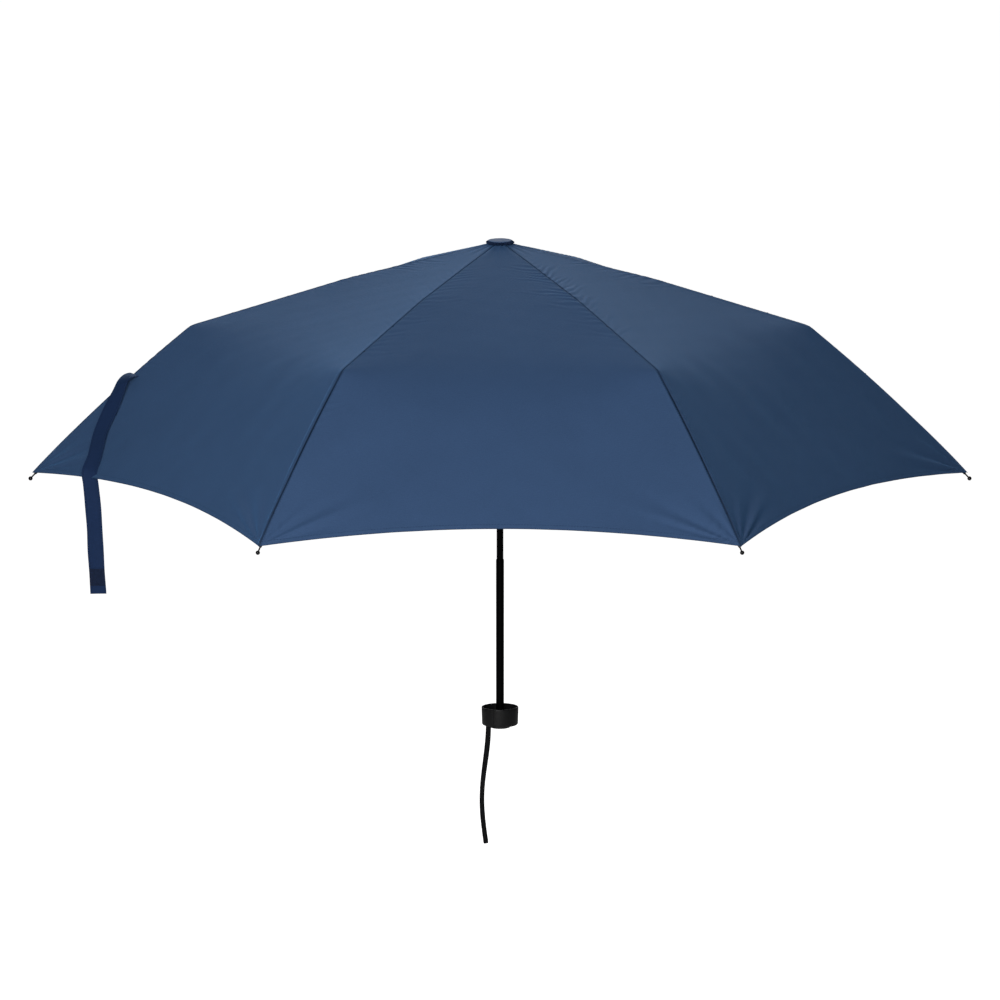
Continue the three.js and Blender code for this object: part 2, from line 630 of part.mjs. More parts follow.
function buildRibs() {
  const shapes = {
    inner: toGeometry(innerRib()),
    middle: toGeometry(middleRib()),
    outer: toGeometry(outerRib()),
    tip: toGeometry(ribTip()),
    stretcher: toGeometry(stretcher()),
  };
  const [tipX, tipZ] = bowPoint(OUTER_LENGTH - BALL_NECK);
  const tipTurn = OUTER_BOW * (OUTER_LENGTH - BALL_NECK / 2) / OUTER_LENGTH;
  for (let i = 0; i < RIB_COUNT; i += 1) {
    const plane = new THREE.Group();
    plane.rotation.z = i * SECTOR * DEGREE;
    umbrella.add(plane);
    const inner = hinged(plane, PIVOT_RADIUS, CROWN_HEIGHT, INNER_SLOPE);
    const middle = hinged(inner, INNER_LENGTH, PIVOT_RISE, MIDDLE_SLOPE - INNER_SLOPE);
    const outer = hinged(middle, MIDDLE_LENGTH, -2 * PIVOT_RISE, OUTER_SLOPE - MIDDLE_SLOPE);
    const tip = hinged(outer, tipX, tipZ, tipTurn);
    const strut = hinged(inner, STRETCHER_AT, -STRETCHER_DROP, Math.PI - STRETCHER_SLOPE - INNER_SLOPE);
    node(`rib_inner_${i + 1}`, shapes.inner, RIB_STEEL, inner);
    node(`rib_middle_${i + 1}`, shapes.middle, RIB_STEEL, middle);
    node(`rib_outer_${i + 1}`, shapes.outer, BLACK_STEEL, outer);
    node(`rib_tip_${i + 1}`, shapes.tip, PLASTIC, tip);
    node(`stretcher_${i + 1}`, shapes.stretcher, RIB_STEEL, strut);
  }
}

function buildCanopy() {
  for (let i = 0; i < RIB_COUNT; i += 1) {
    node(`canopy_panel_${i + 1}`, panel(i), NAVY_CLOTH);
  }
}

function buildStrap() {
  const path = strapPath();
  const length = path.getLength();
  const end = 1 - PATCH.above / length;
  const start = end - PATCH.length / length;
  const half = STRAP_THICKNESS / 2;
  const low = half + 0.05;
  const side = strapSide();
  node("closure_strap", swept(path, flatSection(STRAP_WIDTH, -half, half), 24, side), STRAP_CLOTH);
  const patch = flatSection(STRAP_WIDTH - 1, low, low + PATCH.thickness);
  node("closure_patch", swept(path, patch, 2, side, start, end), STRAP_CLOTH);
}

buildHandle();
buildShaft();
buildHead();
buildRibs();
buildCanopy();
buildStrap();

export default umbrella;
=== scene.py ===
import json
import math

import bmesh
import bpy
import numpy as np
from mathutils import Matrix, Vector


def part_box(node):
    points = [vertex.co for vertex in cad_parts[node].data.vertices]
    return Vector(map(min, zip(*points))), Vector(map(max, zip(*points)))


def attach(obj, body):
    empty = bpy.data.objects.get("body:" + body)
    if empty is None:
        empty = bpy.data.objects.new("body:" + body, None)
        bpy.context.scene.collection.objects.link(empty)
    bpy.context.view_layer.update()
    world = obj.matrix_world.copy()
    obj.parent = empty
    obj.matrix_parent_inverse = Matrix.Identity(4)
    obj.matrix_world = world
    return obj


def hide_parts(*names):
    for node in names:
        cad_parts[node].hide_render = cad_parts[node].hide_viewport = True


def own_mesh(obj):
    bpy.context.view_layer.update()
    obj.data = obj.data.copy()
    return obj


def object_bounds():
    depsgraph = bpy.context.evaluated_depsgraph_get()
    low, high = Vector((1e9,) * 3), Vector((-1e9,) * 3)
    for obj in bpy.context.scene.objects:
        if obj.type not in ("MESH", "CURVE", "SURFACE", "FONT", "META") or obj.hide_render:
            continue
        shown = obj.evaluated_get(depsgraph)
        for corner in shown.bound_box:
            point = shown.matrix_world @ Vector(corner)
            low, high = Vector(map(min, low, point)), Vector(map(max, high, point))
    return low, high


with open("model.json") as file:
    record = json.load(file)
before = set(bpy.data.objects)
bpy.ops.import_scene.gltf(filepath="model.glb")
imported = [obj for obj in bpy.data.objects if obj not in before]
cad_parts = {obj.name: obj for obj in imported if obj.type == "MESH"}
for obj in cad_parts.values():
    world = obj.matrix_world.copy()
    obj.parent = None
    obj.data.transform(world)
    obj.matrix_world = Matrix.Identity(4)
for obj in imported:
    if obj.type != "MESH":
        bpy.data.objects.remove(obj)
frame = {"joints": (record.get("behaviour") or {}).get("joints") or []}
cad_low, cad_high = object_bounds()

MM = 0.001
RIBS = 6
SECTOR = math.radians(60)
CLOTH_UV = "cloth"
HEM_UV = "hem"
rng = np.random.default_rng(7)
scene = bpy.context.scene

# ---------------------------------------------------------------- camera

CAMERA_ELEVATION = math.radians(10.3)
CAMERA_DISTANCE = 13.0
AIM_SHARE = 0.5623  # the camera looks this far up the model's box, on the shaft's axis

aim = Vector((0, 0, cad_low.z + AIM_SHARE * (cad_high.z - cad_low.z)))
back = Vector((0, -math.cos(CAMERA_ELEVATION), math.sin(CAMERA_ELEVATION)))
camera_data = bpy.data.cameras.new("camera")
camera_data.lens = 468
camera_data.sensor_width = 36
camera_data.clip_end = 100
camera = bpy.data.objects.new("camera", camera_data)
camera.location = aim + back * CAMERA_DISTANCE
camera.rotation_mode = "QUATERNION"
camera.rotation_quaternion = (-back).to_track_quat("-Z", "Y")
scene.collection.objects.link(camera)
scene.camera = camera

# ---------------------------------------------------------------- node materials


class Look:
    """A node material: a Principled shader with short calls for the nodes that feed it."""

    def __init__(self, name, **shader):
        self.material = bpy.data.materials.new(name)
        self.material.use_nodes = True
        self.tree = self.material.node_tree
        self.shader = self.tree.nodes["Principled BSDF"]
        for socket, value in shader.items():
            if isinstance(value, tuple) and len(value) == 3:
                value = (*value, 1)
            self.shader.inputs[socket.replace("_", " ")].default_value = value

    def node(self, kind, **settings):
        made = self.tree.nodes.new(kind)
        for key, value in settings.items():
            setattr(made, key, value)
        return made

    def link(self, out, into):
        self.tree.links.new(out, into)

    def math(self, operation, a, b=None, clamp=False):
        made = self.node("ShaderNodeMath", operation=operation, use_clamp=clamp)
        for socket, value in zip(made.inputs, (a, b)):
            if value is None:
                continue
            if isinstance(value, (int, float)):
                socket.default_value = value
            else:
                self.link(value, socket)
        return made.outputs[0]

    def mul(self, a, b):
        return self.math("MULTIPLY", a, b)

    def add(self, a, b):
        return self.math("ADD", a, b)

    def scaled(self, vector, scale):
        made = self.node("ShaderNodeMapping")
        made.inputs["Scale"].default_value = scale
        self.link(vector, made.inputs["Vector"])
        return made.outputs[0]

    def place(self, scale=(1, 1, 1)):
        return self.scaled(self.node("ShaderNodeTexCoord").outputs["Object"], scale)

    def plane(self, across, along):
        made = self.node("ShaderNodeCombineXYZ")
        self.link(across, made.inputs[0])
        self.link(along, made.inputs[1])
        return made.outputs[0]

    def uv(self, name=CLOTH_UV):
        split = self.node("ShaderNodeSeparateXYZ")
        self.link(self.node("ShaderNodeUVMap", uv_map=name).outputs[0], split.inputs[0])
        return split.outputs[0], split.outputs[1]

    def noise(self, vector, scale, detail=2.0, rough=0.5):
        made = self.node("ShaderNodeTexNoise")
        made.inputs["Scale"].default_value = scale
        made.inputs["Detail"].default_value = detail
        made.inputs["Roughness"].default_value = rough
        self.link(vector, made.inputs["Vector"])
        return made.outputs[0]

    def span(self, value, low, high, to_low=0.0, to_high=1.0):
        made = self.node("ShaderNodeMapRange")
        for socket, number in zip(made.inputs[1:5], (low, high, to_low, to_high)):
            socket.default_value = number
        self.link(value, made.inputs[0])
        return made.outputs[0]

    def mix(self, share, a, b):
        made = self.node("ShaderNodeMix", data_type="RGBA")
        if isinstance(share, (int, float)):
            made.inputs[0].default_value = share
        else:
            self.link(share, made.inputs[0])
        for socket, value in ((made.inputs[6], a), (made.inputs[7], b)):
            if isinstance(value, tuple):
                socket.default_value = (*value, 1)
            else:
                self.link(value, socket)
        return made.outputs[2]

    def colour(self, value):
        self.link(value, self.shader.inputs["Base Color"])

    def rough(self, value):
        self.link(value, self.shader.inputs["Roughness"])

    def bump(self, height, distance, strength=1.0):
        made = self.node("ShaderNodeBump")
        made.inputs["Distance"].default_value = distance
        made.inputs["Strength"].default_value = strength
        self.link(height, made.inputs["Height"])
        self.link(made.outputs[0], self.shader.inputs["Normal"])


def shade(colour, factor):
    return tuple(channel * factor for channel in colour)


def line_mask(look, value, middle, half_width, soft):
    """1 on a line where value is middle, falling to 0 over soft beyond half_width."""
    away = look.math("ABSOLUTE", look.math("SUBTRACT", value, middle))
    return look.span(away, half_width, half_width + soft, 1.0, 0.0)


def stitch_mask(look, across, along, middle, pitch=2.8 * MM, filled=0.66, half_width=0.2 * MM):
    line = line_mask(look, across, middle, half_width, 0.12 * MM)
    phase = look.math("FRACT", look.math("DIVIDE", along, pitch))
    dash = look.span(look.math("ABSOLUTE", look.math("SUBTRACT", phase, 0.5)), filled / 2 - 0.05,
                     filled / 2 + 0.05, 1.0, 0.0)
    return look.mul(line, dash)


def cloth_look(name, colour, pitch=0.32 * MM, rough=0.62, sheen=0.25, edges=(), grain=0.16,
               tint=(0.15, 0.46, 1.0)):
    look = Look(name, Sheen_Weight=sheen, Sheen_Roughness=0.45, Sheen_Tint=tint, Specular_IOR_Level=0.04)
    across, along = look.uv()
    where = look.plane(across, along)
    fine = look.noise(where, 900, 2.0, 0.7)
    threads = look.noise(look.scaled(where, (1, 9, 1)), 160, 2.0, 0.6)
    broad = look.noise(where, 14, 3.0, 0.55)
    tone = look.add(look.mul(fine, 0.5), look.mul(threads, 0.3))
    tone = look.add(tone, look.mul(broad, 0.2))
    tone = look.span(tone, 0.32, 0.68)
    base = look.mix(tone, shade(colour, 1 - grain), shade(colour, 1 + grain))
    weave = look.math("SINE", look.mul(across, math.pi / pitch))
    weft = look.math("SINE", look.mul(along, math.pi / pitch))
    height = look.mul(weave, weft)
    height = look.add(look.mul(height, 0.5), look.mul(fine, 0.7))
    sewn = None
    for kind, middle in edges:
        first, second = look.uv(HEM_UV) if kind == "hem" else (along, look.math("ABSOLUTE", across))
        mask = stitch_mask(look, second, first, middle)
        sewn = mask if sewn is None else look.math("MAXIMUM", sewn, mask)
    if sewn is not None:
        base = look.mix(sewn, base, shade(colour, 0.62))
        height = look.add(height, look.mul(sewn, 2.2))
    if edges and name == "canopy cloth":
        # painted shadow: a near-black line down each seam gap, strongest between about 305 and 520 mm from
        # the crown, stands in for the shade inside the open seam
        seam_shadow_mask = look.span(look.math("ABSOLUTE", across), 0.7 * MM, 1.7 * MM, 1.0, 0.0)
        deep = look.span(along, 305 * MM, 340 * MM, 0.62, 0.97)
        deep = look.mul(deep, look.span(along, 430 * MM, 520 * MM, 1.0, 0.6))
        base = look.mix(look.mul(seam_shadow_mask, deep), base, shade(colour, 0.06))
        # painted shade: the hem's very edge is darkened for the shade of the cloth turned under there
        rim = look.span(look.uv(HEM_UV)[1], 0.3 * MM, 1.2 * MM, 0.55, 0.0)
        base = look.mix(rim, base, shade(colour, 0.4))
    look.colour(base)
    look.rough(look.span(threads, 0.3, 0.7, rough - 0.06, rough + 0.08))
    look.bump(height, 0.09 * MM, 0.55)
    return look.material


def plastic_look(name, colour, rough=0.4, grain=2600, coat=0.0, blotch=0.1, wear=0.25, level=0.5):
    look = Look(name, Specular_IOR_Level=level, Coat_Weight=coat, Coat_Roughness=0.2)
    where = look.place()
    fine = look.noise(where, grain, 2.0, 0.6)
    broad = look.noise(where, 120, 3.0, 0.6)
    scuffs = look.span(look.noise(look.place((1, 1, 0.16)), 420, 3.0, 0.75), 0.6, 0.74)
    base = look.mix(look.span(broad, 0.3, 0.7), shade(colour, 1 - blotch), shade(colour, 1 + blotch))
    look.colour(look.mix(look.mul(scuffs, wear), base, shade(colour, 2.2)))
    look.rough(look.add(look.span(broad, 0.3, 0.7, rough - 0.05, rough + 0.05), look.mul(scuffs, 0.1)))
    look.bump(fine, 0.02 * MM, 0.5)
    return look.material


def metal_look(name, colour, rough=0.3, metallic=1.0, stretch=(1, 1, 0.05), drawn=900, patina=0.12,
               level=0.5):
    look = Look(name, Metallic=metallic, Specular_IOR_Level=level)
    lines = look.noise(look.place(stretch), drawn, 2.0, 0.6)
    broad = look.noise(look.place(), 90, 3.0, 0.6)
    rub = look.span(look.noise(look.place(), 700, 3.0, 0.7), 0.62, 0.75)
    base = look.mix(look.span(broad, 0.3, 0.7), shade(colour, 1 - patina), shade(colour, 1 + patina))
    look.colour(look.mix(look.mul(rub, 0.3), base, shade(colour, 1.7)))
    look.rough(look.add(look.span(lines, 0.3, 0.7, rough - 0.06, rough + 0.08), look.mul(rub, 0.08)))
    look.bump(lines, 0.01 * MM, 0.4)
    return look.material


def webbing_look(name, colour, ribs=0.55 * MM):
    look = Look(name, Sheen_Weight=0.03, Sheen_Roughness=0.4, Specular_IOR_Level=0.08)
    across, along = look.uv()
    cord = look.math("SINE", look.mul(across, 2 * math.pi / ribs))
    pick = look.math("SINE", look.mul(along, 2 * math.pi / (0.7 * MM)))
    where = look.plane(across, along)
    fuzz = look.noise(where, 1400, 2.0, 0.7)
    streak = look.noise(look.scaled(where, (1, 0.06, 1)), 1100, 2.0, 0.6)
    tone = look.add(look.mul(streak, 0.7), look.mul(fuzz, 0.3))
    look.colour(look.mix(look.span(tone, 0.35, 0.7), shade(colour, 0.6), shade(colour, 2.4)))
    look.rough(look.span(fuzz, 0.3, 0.7, 0.6, 0.8))
    height = look.add(look.mul(cord, 0.5), look.mul(pick, 0.25))
    look.bump(look.add(height, fuzz), 0.12 * MM, 0.7)
    return look.material


def pile_look(name, colour):
    """A hook-and-loop patch: short dense loops over a woven ground."""
    look = Look(name, Sheen_Weight=0.08, Sheen_Roughness=0.5, Specular_IOR_Level=0.1)
    cells = look.node("ShaderNodeTexVoronoi")
    cells.inputs["Scale"].default_value = 1900
    look.link(look.place(), cells.inputs["Vector"])
    fuzz = look.noise(look.place(), 2600, 3.0, 0.7)
    # painted shade and highlight: each loop's middle is lighter and the gaps between loops darker, keyed to
    # the same cells as the bump
    look.colour(look.mix(look.span(cells.outputs["Distance"], 0.1, 0.7), shade(colour, 1.5),
                         shade(colour, 0.55)))
    look.rough(look.span(fuzz, 0.3, 0.7, 0.75, 0.95))
    look.bump(look.math("SUBTRACT", fuzz, cells.outputs["Distance"]), 0.35 * MM, 0.8)
    return look.material


NAVY = (0.035, 0.0695, 0.147)
CANOPY = cloth_look("canopy cloth", NAVY, edges=(("seam", 2.1 * MM), ("hem", 5.2 * MM)), sheen=0.24)
RUFFLE_CLOTH = cloth_look("gathered cloth", (0.009, 0.018, 0.046), pitch=0.3 * MM, sheen=0.05)
STRAP_CLOTH = cloth_look("strap cloth", (0.0105, 0.0235, 0.066), pitch=0.34 * MM, sheen=0.15,
                         edges=(("seam", 6.3 * MM),))
THREAD = cloth_look("thread", (0.01, 0.014, 0.026), pitch=0.2 * MM, sheen=0.2)
PILE = pile_look("hook and loop", (0.0075, 0.0155, 0.043))
WEBBING = webbing_look("ribbed webbing", (0.0035, 0.0035, 0.0042))
HANDLE = plastic_look("handle plastic", (0.0045, 0.0045, 0.0048), rough=0.42, level=0.2)
NOTCH = plastic_look("collar plastic", (0.011, 0.011, 0.012), rough=0.42)
TIP = plastic_look("tip plastic", (0.0025, 0.0025, 0.003), rough=0.3, level=0.2)
CAP = plastic_look("cap plastic", (0.062, 0.12, 0.25), rough=0.6, wear=0.1, level=0.12)
TUBE = metal_look("black tube", (0.0007, 0.0007, 0.0008), rough=0.4, metallic=0.0, level=0.03)
ROD = metal_look("black rod", (0.009, 0.009, 0.01), rough=0.34, metallic=0.5, stretch=(1, 1, 1))
STEEL = metal_look("rib steel", (0.2, 0.21, 0.225), rough=0.34, stretch=(1, 1, 1), drawn=500)
WIRE = metal_look("wire steel", (0.45, 0.46, 0.47), rough=0.24, stretch=(1, 1, 1))

# ---------------------------------------------------------------- mesh helpers


class Build:
    """The points and faces of one piece, gathered solid by solid."""

    def __init__(self):
        self.points = []
        self.faces = []
        self.uv = []

    def add(self, points, faces, place=None, uv=None):
        base = len(self.points)
        points = np.asarray(points, float).reshape(-1, 3)
        if place is not None:
            points = place(points)
        self.points.extend(points.tolist())
        self.faces.extend([tuple(base + i for i in face) for face in faces])
        self.uv.extend(uv if uv is not None else [(0.0, 0.0)] * len(points))
        return self


def make(name, build, look, body, replaces=(), sharp=38, weld=True, bevel=None):
    mesh = bpy.data.meshes.new(name)
    mesh.from_pydata(build.points, [], build.faces)
    layer = mesh.uv_layers.new(name=CLOTH_UV)
    index = np.zeros(len(mesh.loops), np.int32)
    mesh.loops.foreach_get("vertex_index", index)
    layer.data.foreach_set("uv", np.asarray(build.uv, np.float32)[index].ravel())
    work = bmesh.new()
    work.from_mesh(mesh)
    if weld:
        bmesh.ops.remove_doubles(work, verts=work.verts, dist=2e-6)
        bmesh.ops.dissolve_degenerate(work, edges=work.edges, dist=1e-6)
    bmesh.ops.recalc_face_normals(work, faces=work.faces)
    work.to_mesh(mesh)
    work.free()
    mesh.polygons.foreach_set("use_smooth", [True] * len(mesh.polygons))
    mesh.set_sharp_from_angle(angle=math.radians(sharp))
    mesh.materials.append(look)
    made = bpy.data.objects.new(name, mesh)
    scene.collection.objects.link(made)
    if bevel:
        modifier = made.modifiers.new("edges", "BEVEL")
        modifier.width = bevel
        modifier.segments = 2
        modifier.limit_method = "ANGLE"
        modifier.angle_limit = math.radians(40)
        modifier.harden_normals = False
    if body:
        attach(made, body)
    if replaces:
        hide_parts(*replaces)
    return made


def rounded(points, steps=4, closed=True):
    """A polyline of (x, y, radius) with each corner turned into an arc."""
    out = []
    count = len(points)
    for i, (x, y, radius) in enumerate(points):
        here = np.array([x, y], float)
        if radius <= 0 or (not closed and i in (0, count - 1)):
            out.append(here)
            continue
        before = np.array(points[i - 1][:2], float) - here
        after = np.array(points[(i + 1) % count][:2], float) - here
        lengths = np.linalg.norm(before), np.linalg.norm(after)
        before, after = before / lengths[0], after / lengths[1]
        half = math.acos(max(-1, min(1, float(before @ after)))) / 2
        if half > math.pi / 2 - 0.02:
            out.append(here)
            continue
        reach = min(radius / math.tan(half), 0.49 * min(lengths))
        radius = reach * math.tan(half)
        middle = here + (before + after) / np.linalg.norm(before + after) * radius / math.sin(half)
        start = here + before * reach - middle
        end = here + after * reach - middle
        a0 = math.atan2(start[1], start[0])
        turn = (math.atan2(end[1], end[0]) - a0 + math.pi) % (2 * math.pi) - math.pi
        for k in range(steps + 1):
            angle = a0 + turn * k / steps
            out.append(middle + radius * np.array([math.cos(angle), math.sin(angle)]))
    return np.array(out)


def grid_faces(rows, columns, wrap_rows=False, wrap_columns=False):
    faces = []
    for r in range(rows if wrap_rows else rows - 1):
        for c in range(columns if wrap_columns else columns - 1):
            r1, c1 = (r + 1) % rows, (c + 1) % columns
            faces.append((r * columns + c, r * columns + c1, r1 * columns + c1, r1 * columns + c))
    return faces


def lathe(build, profile, sides=96, closed=True, extra=(), shift=None, place=None):
    """Turns a profile of (radius, height) in metres about the local z axis."""
    angles = np.sort(np.concatenate([np.arange(sides) * 2 * math.pi / sides, extra]) % (2 * math.pi))
    profile = np.asarray(profile, float)
    radius, height = profile[:, 0][:, None], profile[:, 1][:, None]
    angle = angles[None, :]
    radius = radius + (shift(angle, profile[:, 0][:, None], height) if shift else 0 * angle)
    points = np.stack([radius * np.cos(angle), radius * np.sin(angle), height + 0 * angle], axis=2)
    faces = grid_faces(len(profile), len(angles), wrap_rows=closed, wrap_columns=True)
    return build.add(points, faces, place)


def about_shaft(x, y, angle):
    """x and y turned about the shaft's axis."""
    return x * math.cos(angle) - y * math.sin(angle), x * math.sin(angle) + y * math.cos(angle)


def to_y(points):
    """Local z turned onto +y."""
    return points[:, [1, 2, 0]]


def plate(build, outline, near, far, place):
    """A flat plate: an outline in the x-z plane spread from y = near to y = far."""
    outline = np.asarray(outline, float)
    count = len(outline)
    points = [(x, y, z) for y in (near, far) for x, z in outline]
    faces = [(k, (k + 1) % count, count + (k + 1) % count, count + k) for k in range(count)]
    faces += [tuple(range(count))[::-1], tuple(range(count, 2 * count))]
    return build.add(points, faces, place)


def capsule(a, b, radius, steps=8):
    heading = math.atan2(b[1] - a[1], b[0] - a[0])
    out = []
    for (x, z), start in ((b, heading - math.pi / 2), (a, heading + math.pi / 2)):
        for k in range(steps + 1):
            angle = start + math.pi * k / steps
            out.append((x + radius * math.cos(angle), z + radius * math.sin(angle)))
    return out


def sweep(build, path, frames, section, place=None, cap=True, closed=True, uv_across=None):
    """A section of (side, lift) carried along a path with given side and lift directions."""
    path = np.asarray(path, float)
    sides, lifts = frames
    section = np.asarray(section, float)
    if section.ndim == 2:
        section = np.repeat(section[None], len(path), axis=0)
    points = path[:, None] + sides[:, None] * section[:, :, :1] + lifts[:, None] * section[:, :, 1:]
    rows, count = points.shape[:2]
    faces = grid_faces(rows, count, wrap_columns=closed)
    if cap and closed:
        faces += [tuple(range(count)), tuple(range((rows - 1) * count, rows * count))[::-1]]
    along = np.concatenate([[0], np.cumsum(np.linalg.norm(np.diff(path, axis=0), axis=1))])
    uv = [(float(s[0]), float(a)) for row, a in zip(section, along) for s in row]
    return build.add(points, faces, place, uv)


def directions(path, side):
    """Side and lift directions along a path, the side as near to the given one as it can be."""
    path = np.asarray(path, float)
    tangent = np.gradient(path, axis=0)
    tangent /= np.linalg.norm(tangent, axis=1)[:, None]
    side = np.broadcast_to(np.asarray(side, float), path.shape)
    side = side - (side * tangent).sum(1)[:, None] * tangent
    side = side / np.linalg.norm(side, axis=1)[:, None]
    return side, np.cross(side, tangent)


def round_section(radius, count=14):
    angle = np.arange(count) * 2 * math.pi / count
    return np.stack([radius * np.cos(angle), radius * np.sin(angle)], axis=1)


def flat_section(half, low, high, low_round, high_round, steps):
    return rounded([(half, low, low_round), (half, high, high_round), (-half, high, high_round),
                    (-half, low, low_round)], steps)


def ring(build, radius, thickness, height, sides=72, place=None):
    profile = [(radius + x, height + z) for x, z in round_section(thickness, 12)]
    return lathe(build, profile, sides, place=place)


def cut(target, cutter_build):
    """Cuts holes in a piece with closed solids, and keeps the result as its mesh."""
    cutter_mesh = bpy.data.meshes.new("cutter")
    cutter_mesh.from_pydata(cutter_build.points, [], cutter_build.faces)
    work = bmesh.new()
    work.from_mesh(cutter_mesh)
    bmesh.ops.remove_doubles(work, verts=work.verts, dist=1e-6)
    bmesh.ops.recalc_face_normals(work, faces=work.faces)
    work.to_mesh(cutter_mesh)
    work.free()
    cutter = bpy.data.objects.new("cutter", cutter_mesh)
    scene.collection.objects.link(cutter)
    modifier = target.modifiers.new("holes", "BOOLEAN")
    modifier.operation = "DIFFERENCE"
    modifier.solver = "EXACT"
    modifier.object = cutter
    bpy.context.view_layer.update()
    result = bpy.data.meshes.new_from_object(target.evaluated_get(bpy.context.evaluated_depsgraph_get()))
    target.modifiers.remove(modifier)
    result.name = target.name
    target.data = result
    bpy.data.objects.remove(cutter)
    result.polygons.foreach_set("use_smooth", [True] * len(result.polygons))
    result.set_sharp_from_angle(angle=math.radians(38))
    return target


def box_cutter(build, centre, size, angle):
    x, y, z = centre
    hx, hy, hz = (s / 2 for s in size)
    corners = np.array([(x + i * hx, y + j * hy, z + k * hz) for i in (-1, 1) for j in (-1, 1) for k in (-1,
            1)])
    corners = np.stack([*about_shaft(corners[:, 0], corners[:, 1], angle), corners[:, 2]], axis=1)
    faces = [(0, 1, 3, 2), (4, 6, 7, 5), (0, 4, 5, 1), (2, 3, 7, 6), (0, 2, 6, 4), (1, 5, 7, 3)]
    return build.add(corners, faces)


# ---------------------------------------------------------------- the frame's own measures

joints = {j["name"]: j for j in frame["joints"]}


def pivot(name):
    """A joint of rib 1 as (distance from the shaft, height)."""
    x, y, z = joints[name]["pos_m"]
    return np.array([math.hypot(x, y), z])


CROWN = pivot("canopy_fold")
FIRST = pivot("rib_middle_1_hinge")
SECOND = pivot("rib_outer_1_hinge")
STRUT = pivot("stretcher_1_hinge")
RUNNER = pivot("runner_hinge")

INNER_LENGTH = 150 * MM
MIDDLE_LENGTH = 161 * MM
OUTER_LENGTH = 222 * MM
INNER_SLOPE = math.radians(13.9)
MIDDLE_SLOPE = math.radians(17)
OUTER_SLOPE = math.radians(39.2)
OUTER_BOW = math.radians(8)
PIVOT_RISE = 1.3 * MM
RIB_EDGE = 1.6 * MM
RIB_HALF = 1.0 * MM
RIB_SHEET = 0.45 * MM
STRETCHER_AT = 80 * MM
STRETCHER_DROP = 2.2 * MM
ROD_RISE = 1.6 * MM
ROD_RADIUS = 0.9 * MM
BALL_NECK = 8 * MM
BALL_RADIUS = 2.15 * MM

# ---------------------------------------------------------------- wrist loop

LOOP_ANGLE = math.radians(212)
LOOP_RADIUS = 13.7 * MM
LOOP_WIDTH = 4.8 * MM
LOOP_DROP = 121 * MM
LOOP_SPREAD = 1.5 * MM
LOOP_PIN_HEIGHT = 3.9 * MM


def loop_point(t):
    foot = 0.46
    across = np.array([-math.sin(LOOP_ANGLE), math.cos(LOOP_ANGLE), 0])
    top = np.array([math.cos(LOOP_ANGLE), math.sin(LOOP_ANGLE), 0]) * LOOP_RADIUS
    side = -1 if t < 0.5 else 1
    along = min(t, 1 - t)
    turn = max(0, (along - foot) / (0.5 - foot)) * math.pi / 2
    drop = min(along / foot, 1)
    spread = LOOP_SPREAD + 0.5 * MM * math.sin(math.pi * drop) ** 2
    depth = drop * (LOOP_DROP - LOOP_SPREAD) + LOOP_SPREAD * math.sin(turn)
    lean = -6.5 * MM * math.sin(math.pi * 0.78 * drop) ** 2
    return top + across * side * spread * math.cos(turn) + np.array([lean, 0, LOOP_PIN_HEIGHT - depth])


loop_path = np.array([loop_point(t) for t in np.linspace(0, 1, 181)])
outwards = np.array([math.cos(LOOP_ANGLE), math.sin(LOOP_ANGLE), 0])
share = np.linspace(0, 1, len(loop_path))
twist = 0.55 * np.sin(math.pi * np.minimum(share, 1 - share) * 2) ** 2
spun = np.stack([np.cos(LOOP_ANGLE + twist), np.sin(LOOP_ANGLE + twist), 0 * twist], axis=1)
width = LOOP_WIDTH / 2 * (0.84 + 0.2 * np.sin(math.pi * np.clip(np.minimum(share, 1 - share) / 0.42, 0, 1)))
half_thick = 0.45 * MM
section = [flat_section(w, -half_thick, half_thick, 0.35 * MM, 0.35 * MM, 3) for w in width]
build = Build()
sweep(build, loop_path, directions(loop_path, spun), np.array(section))
wrist_loop = make("wrist_loop_ribbon", build, WEBBING, "wrist_loop", ["wrist_loop"],
                  sharp=60)

# ---------------------------------------------------------------- stage and lights

FLOOR_DROP = 0.45  # the umbrella is held up, this far over the floor
floor_look = Look("pale floor", Base_Color=(0.86, 0.86, 0.86), Roughness=0.9, Emission_Color=(1, 1, 1))
grain = floor_look.noise(floor_look.place(), 30, 2.0, 0.6)
floor_look.colour(floor_look.mix(grain, (0.85, 0.85, 0.85), (0.88, 0.88, 0.88)))
seen = floor_look.node("ShaderNodeLightPath").outputs["Is Camera Ray"]
floor_look.link(floor_look.mul(seen, 1.0), floor_look.shader.inputs["Emission Strength"])
FLOOR_REACH = 60
floor_mesh = bpy.data.meshes.new("floor")
floor_mesh.from_pydata([(x * FLOOR_REACH, y * FLOOR_REACH, 0) for x,
                        y in ((-1, -1), (1, -1), (1, 1), (-1, 1))], [], [(0, 1, 2, 3)])
floor_mesh.materials.append(floor_look.material)
floor = bpy.data.objects.new("floor", floor_mesh)
floor.location.z = cad_low.z - FLOOR_DROP
scene.collection.objects.link(floor)

world = bpy.data.worlds.new("studio")
scene.world = world
world.use_nodes = True
nodes, links = world.node_tree.nodes, world.node_tree.links
background = nodes["Background"]
background.inputs[0].default_value = (1, 1, 1, 1)
ray = nodes.new("ShaderNodeLightPath")
level = nodes.new("ShaderNodeMapRange")
level.inputs[3].default_value = 0.02
level.inputs[4].default_value = 1.0
links.new(ray.outputs["Is Camera Ray"], level.inputs[0])
links.new(level.outputs[0], background.inputs[1])


def softbox(name, place, size, power, target=(0, 0, 0.36)):
    data = bpy.data.lights.new(name, "AREA")
    data.shape = "RECTANGLE"
    data.size, data.size_y = size
    data.energy = power
    lamp = bpy.data.objects.new(name, data)
    lamp.location = place
    heading = Vector(target) - Vector(place)
    lamp.rotation_mode = "QUATERNION"
    lamp.rotation_quaternion = heading.to_track_quat("-Z", "Y")
    scene.collection.objects.link(lamp)


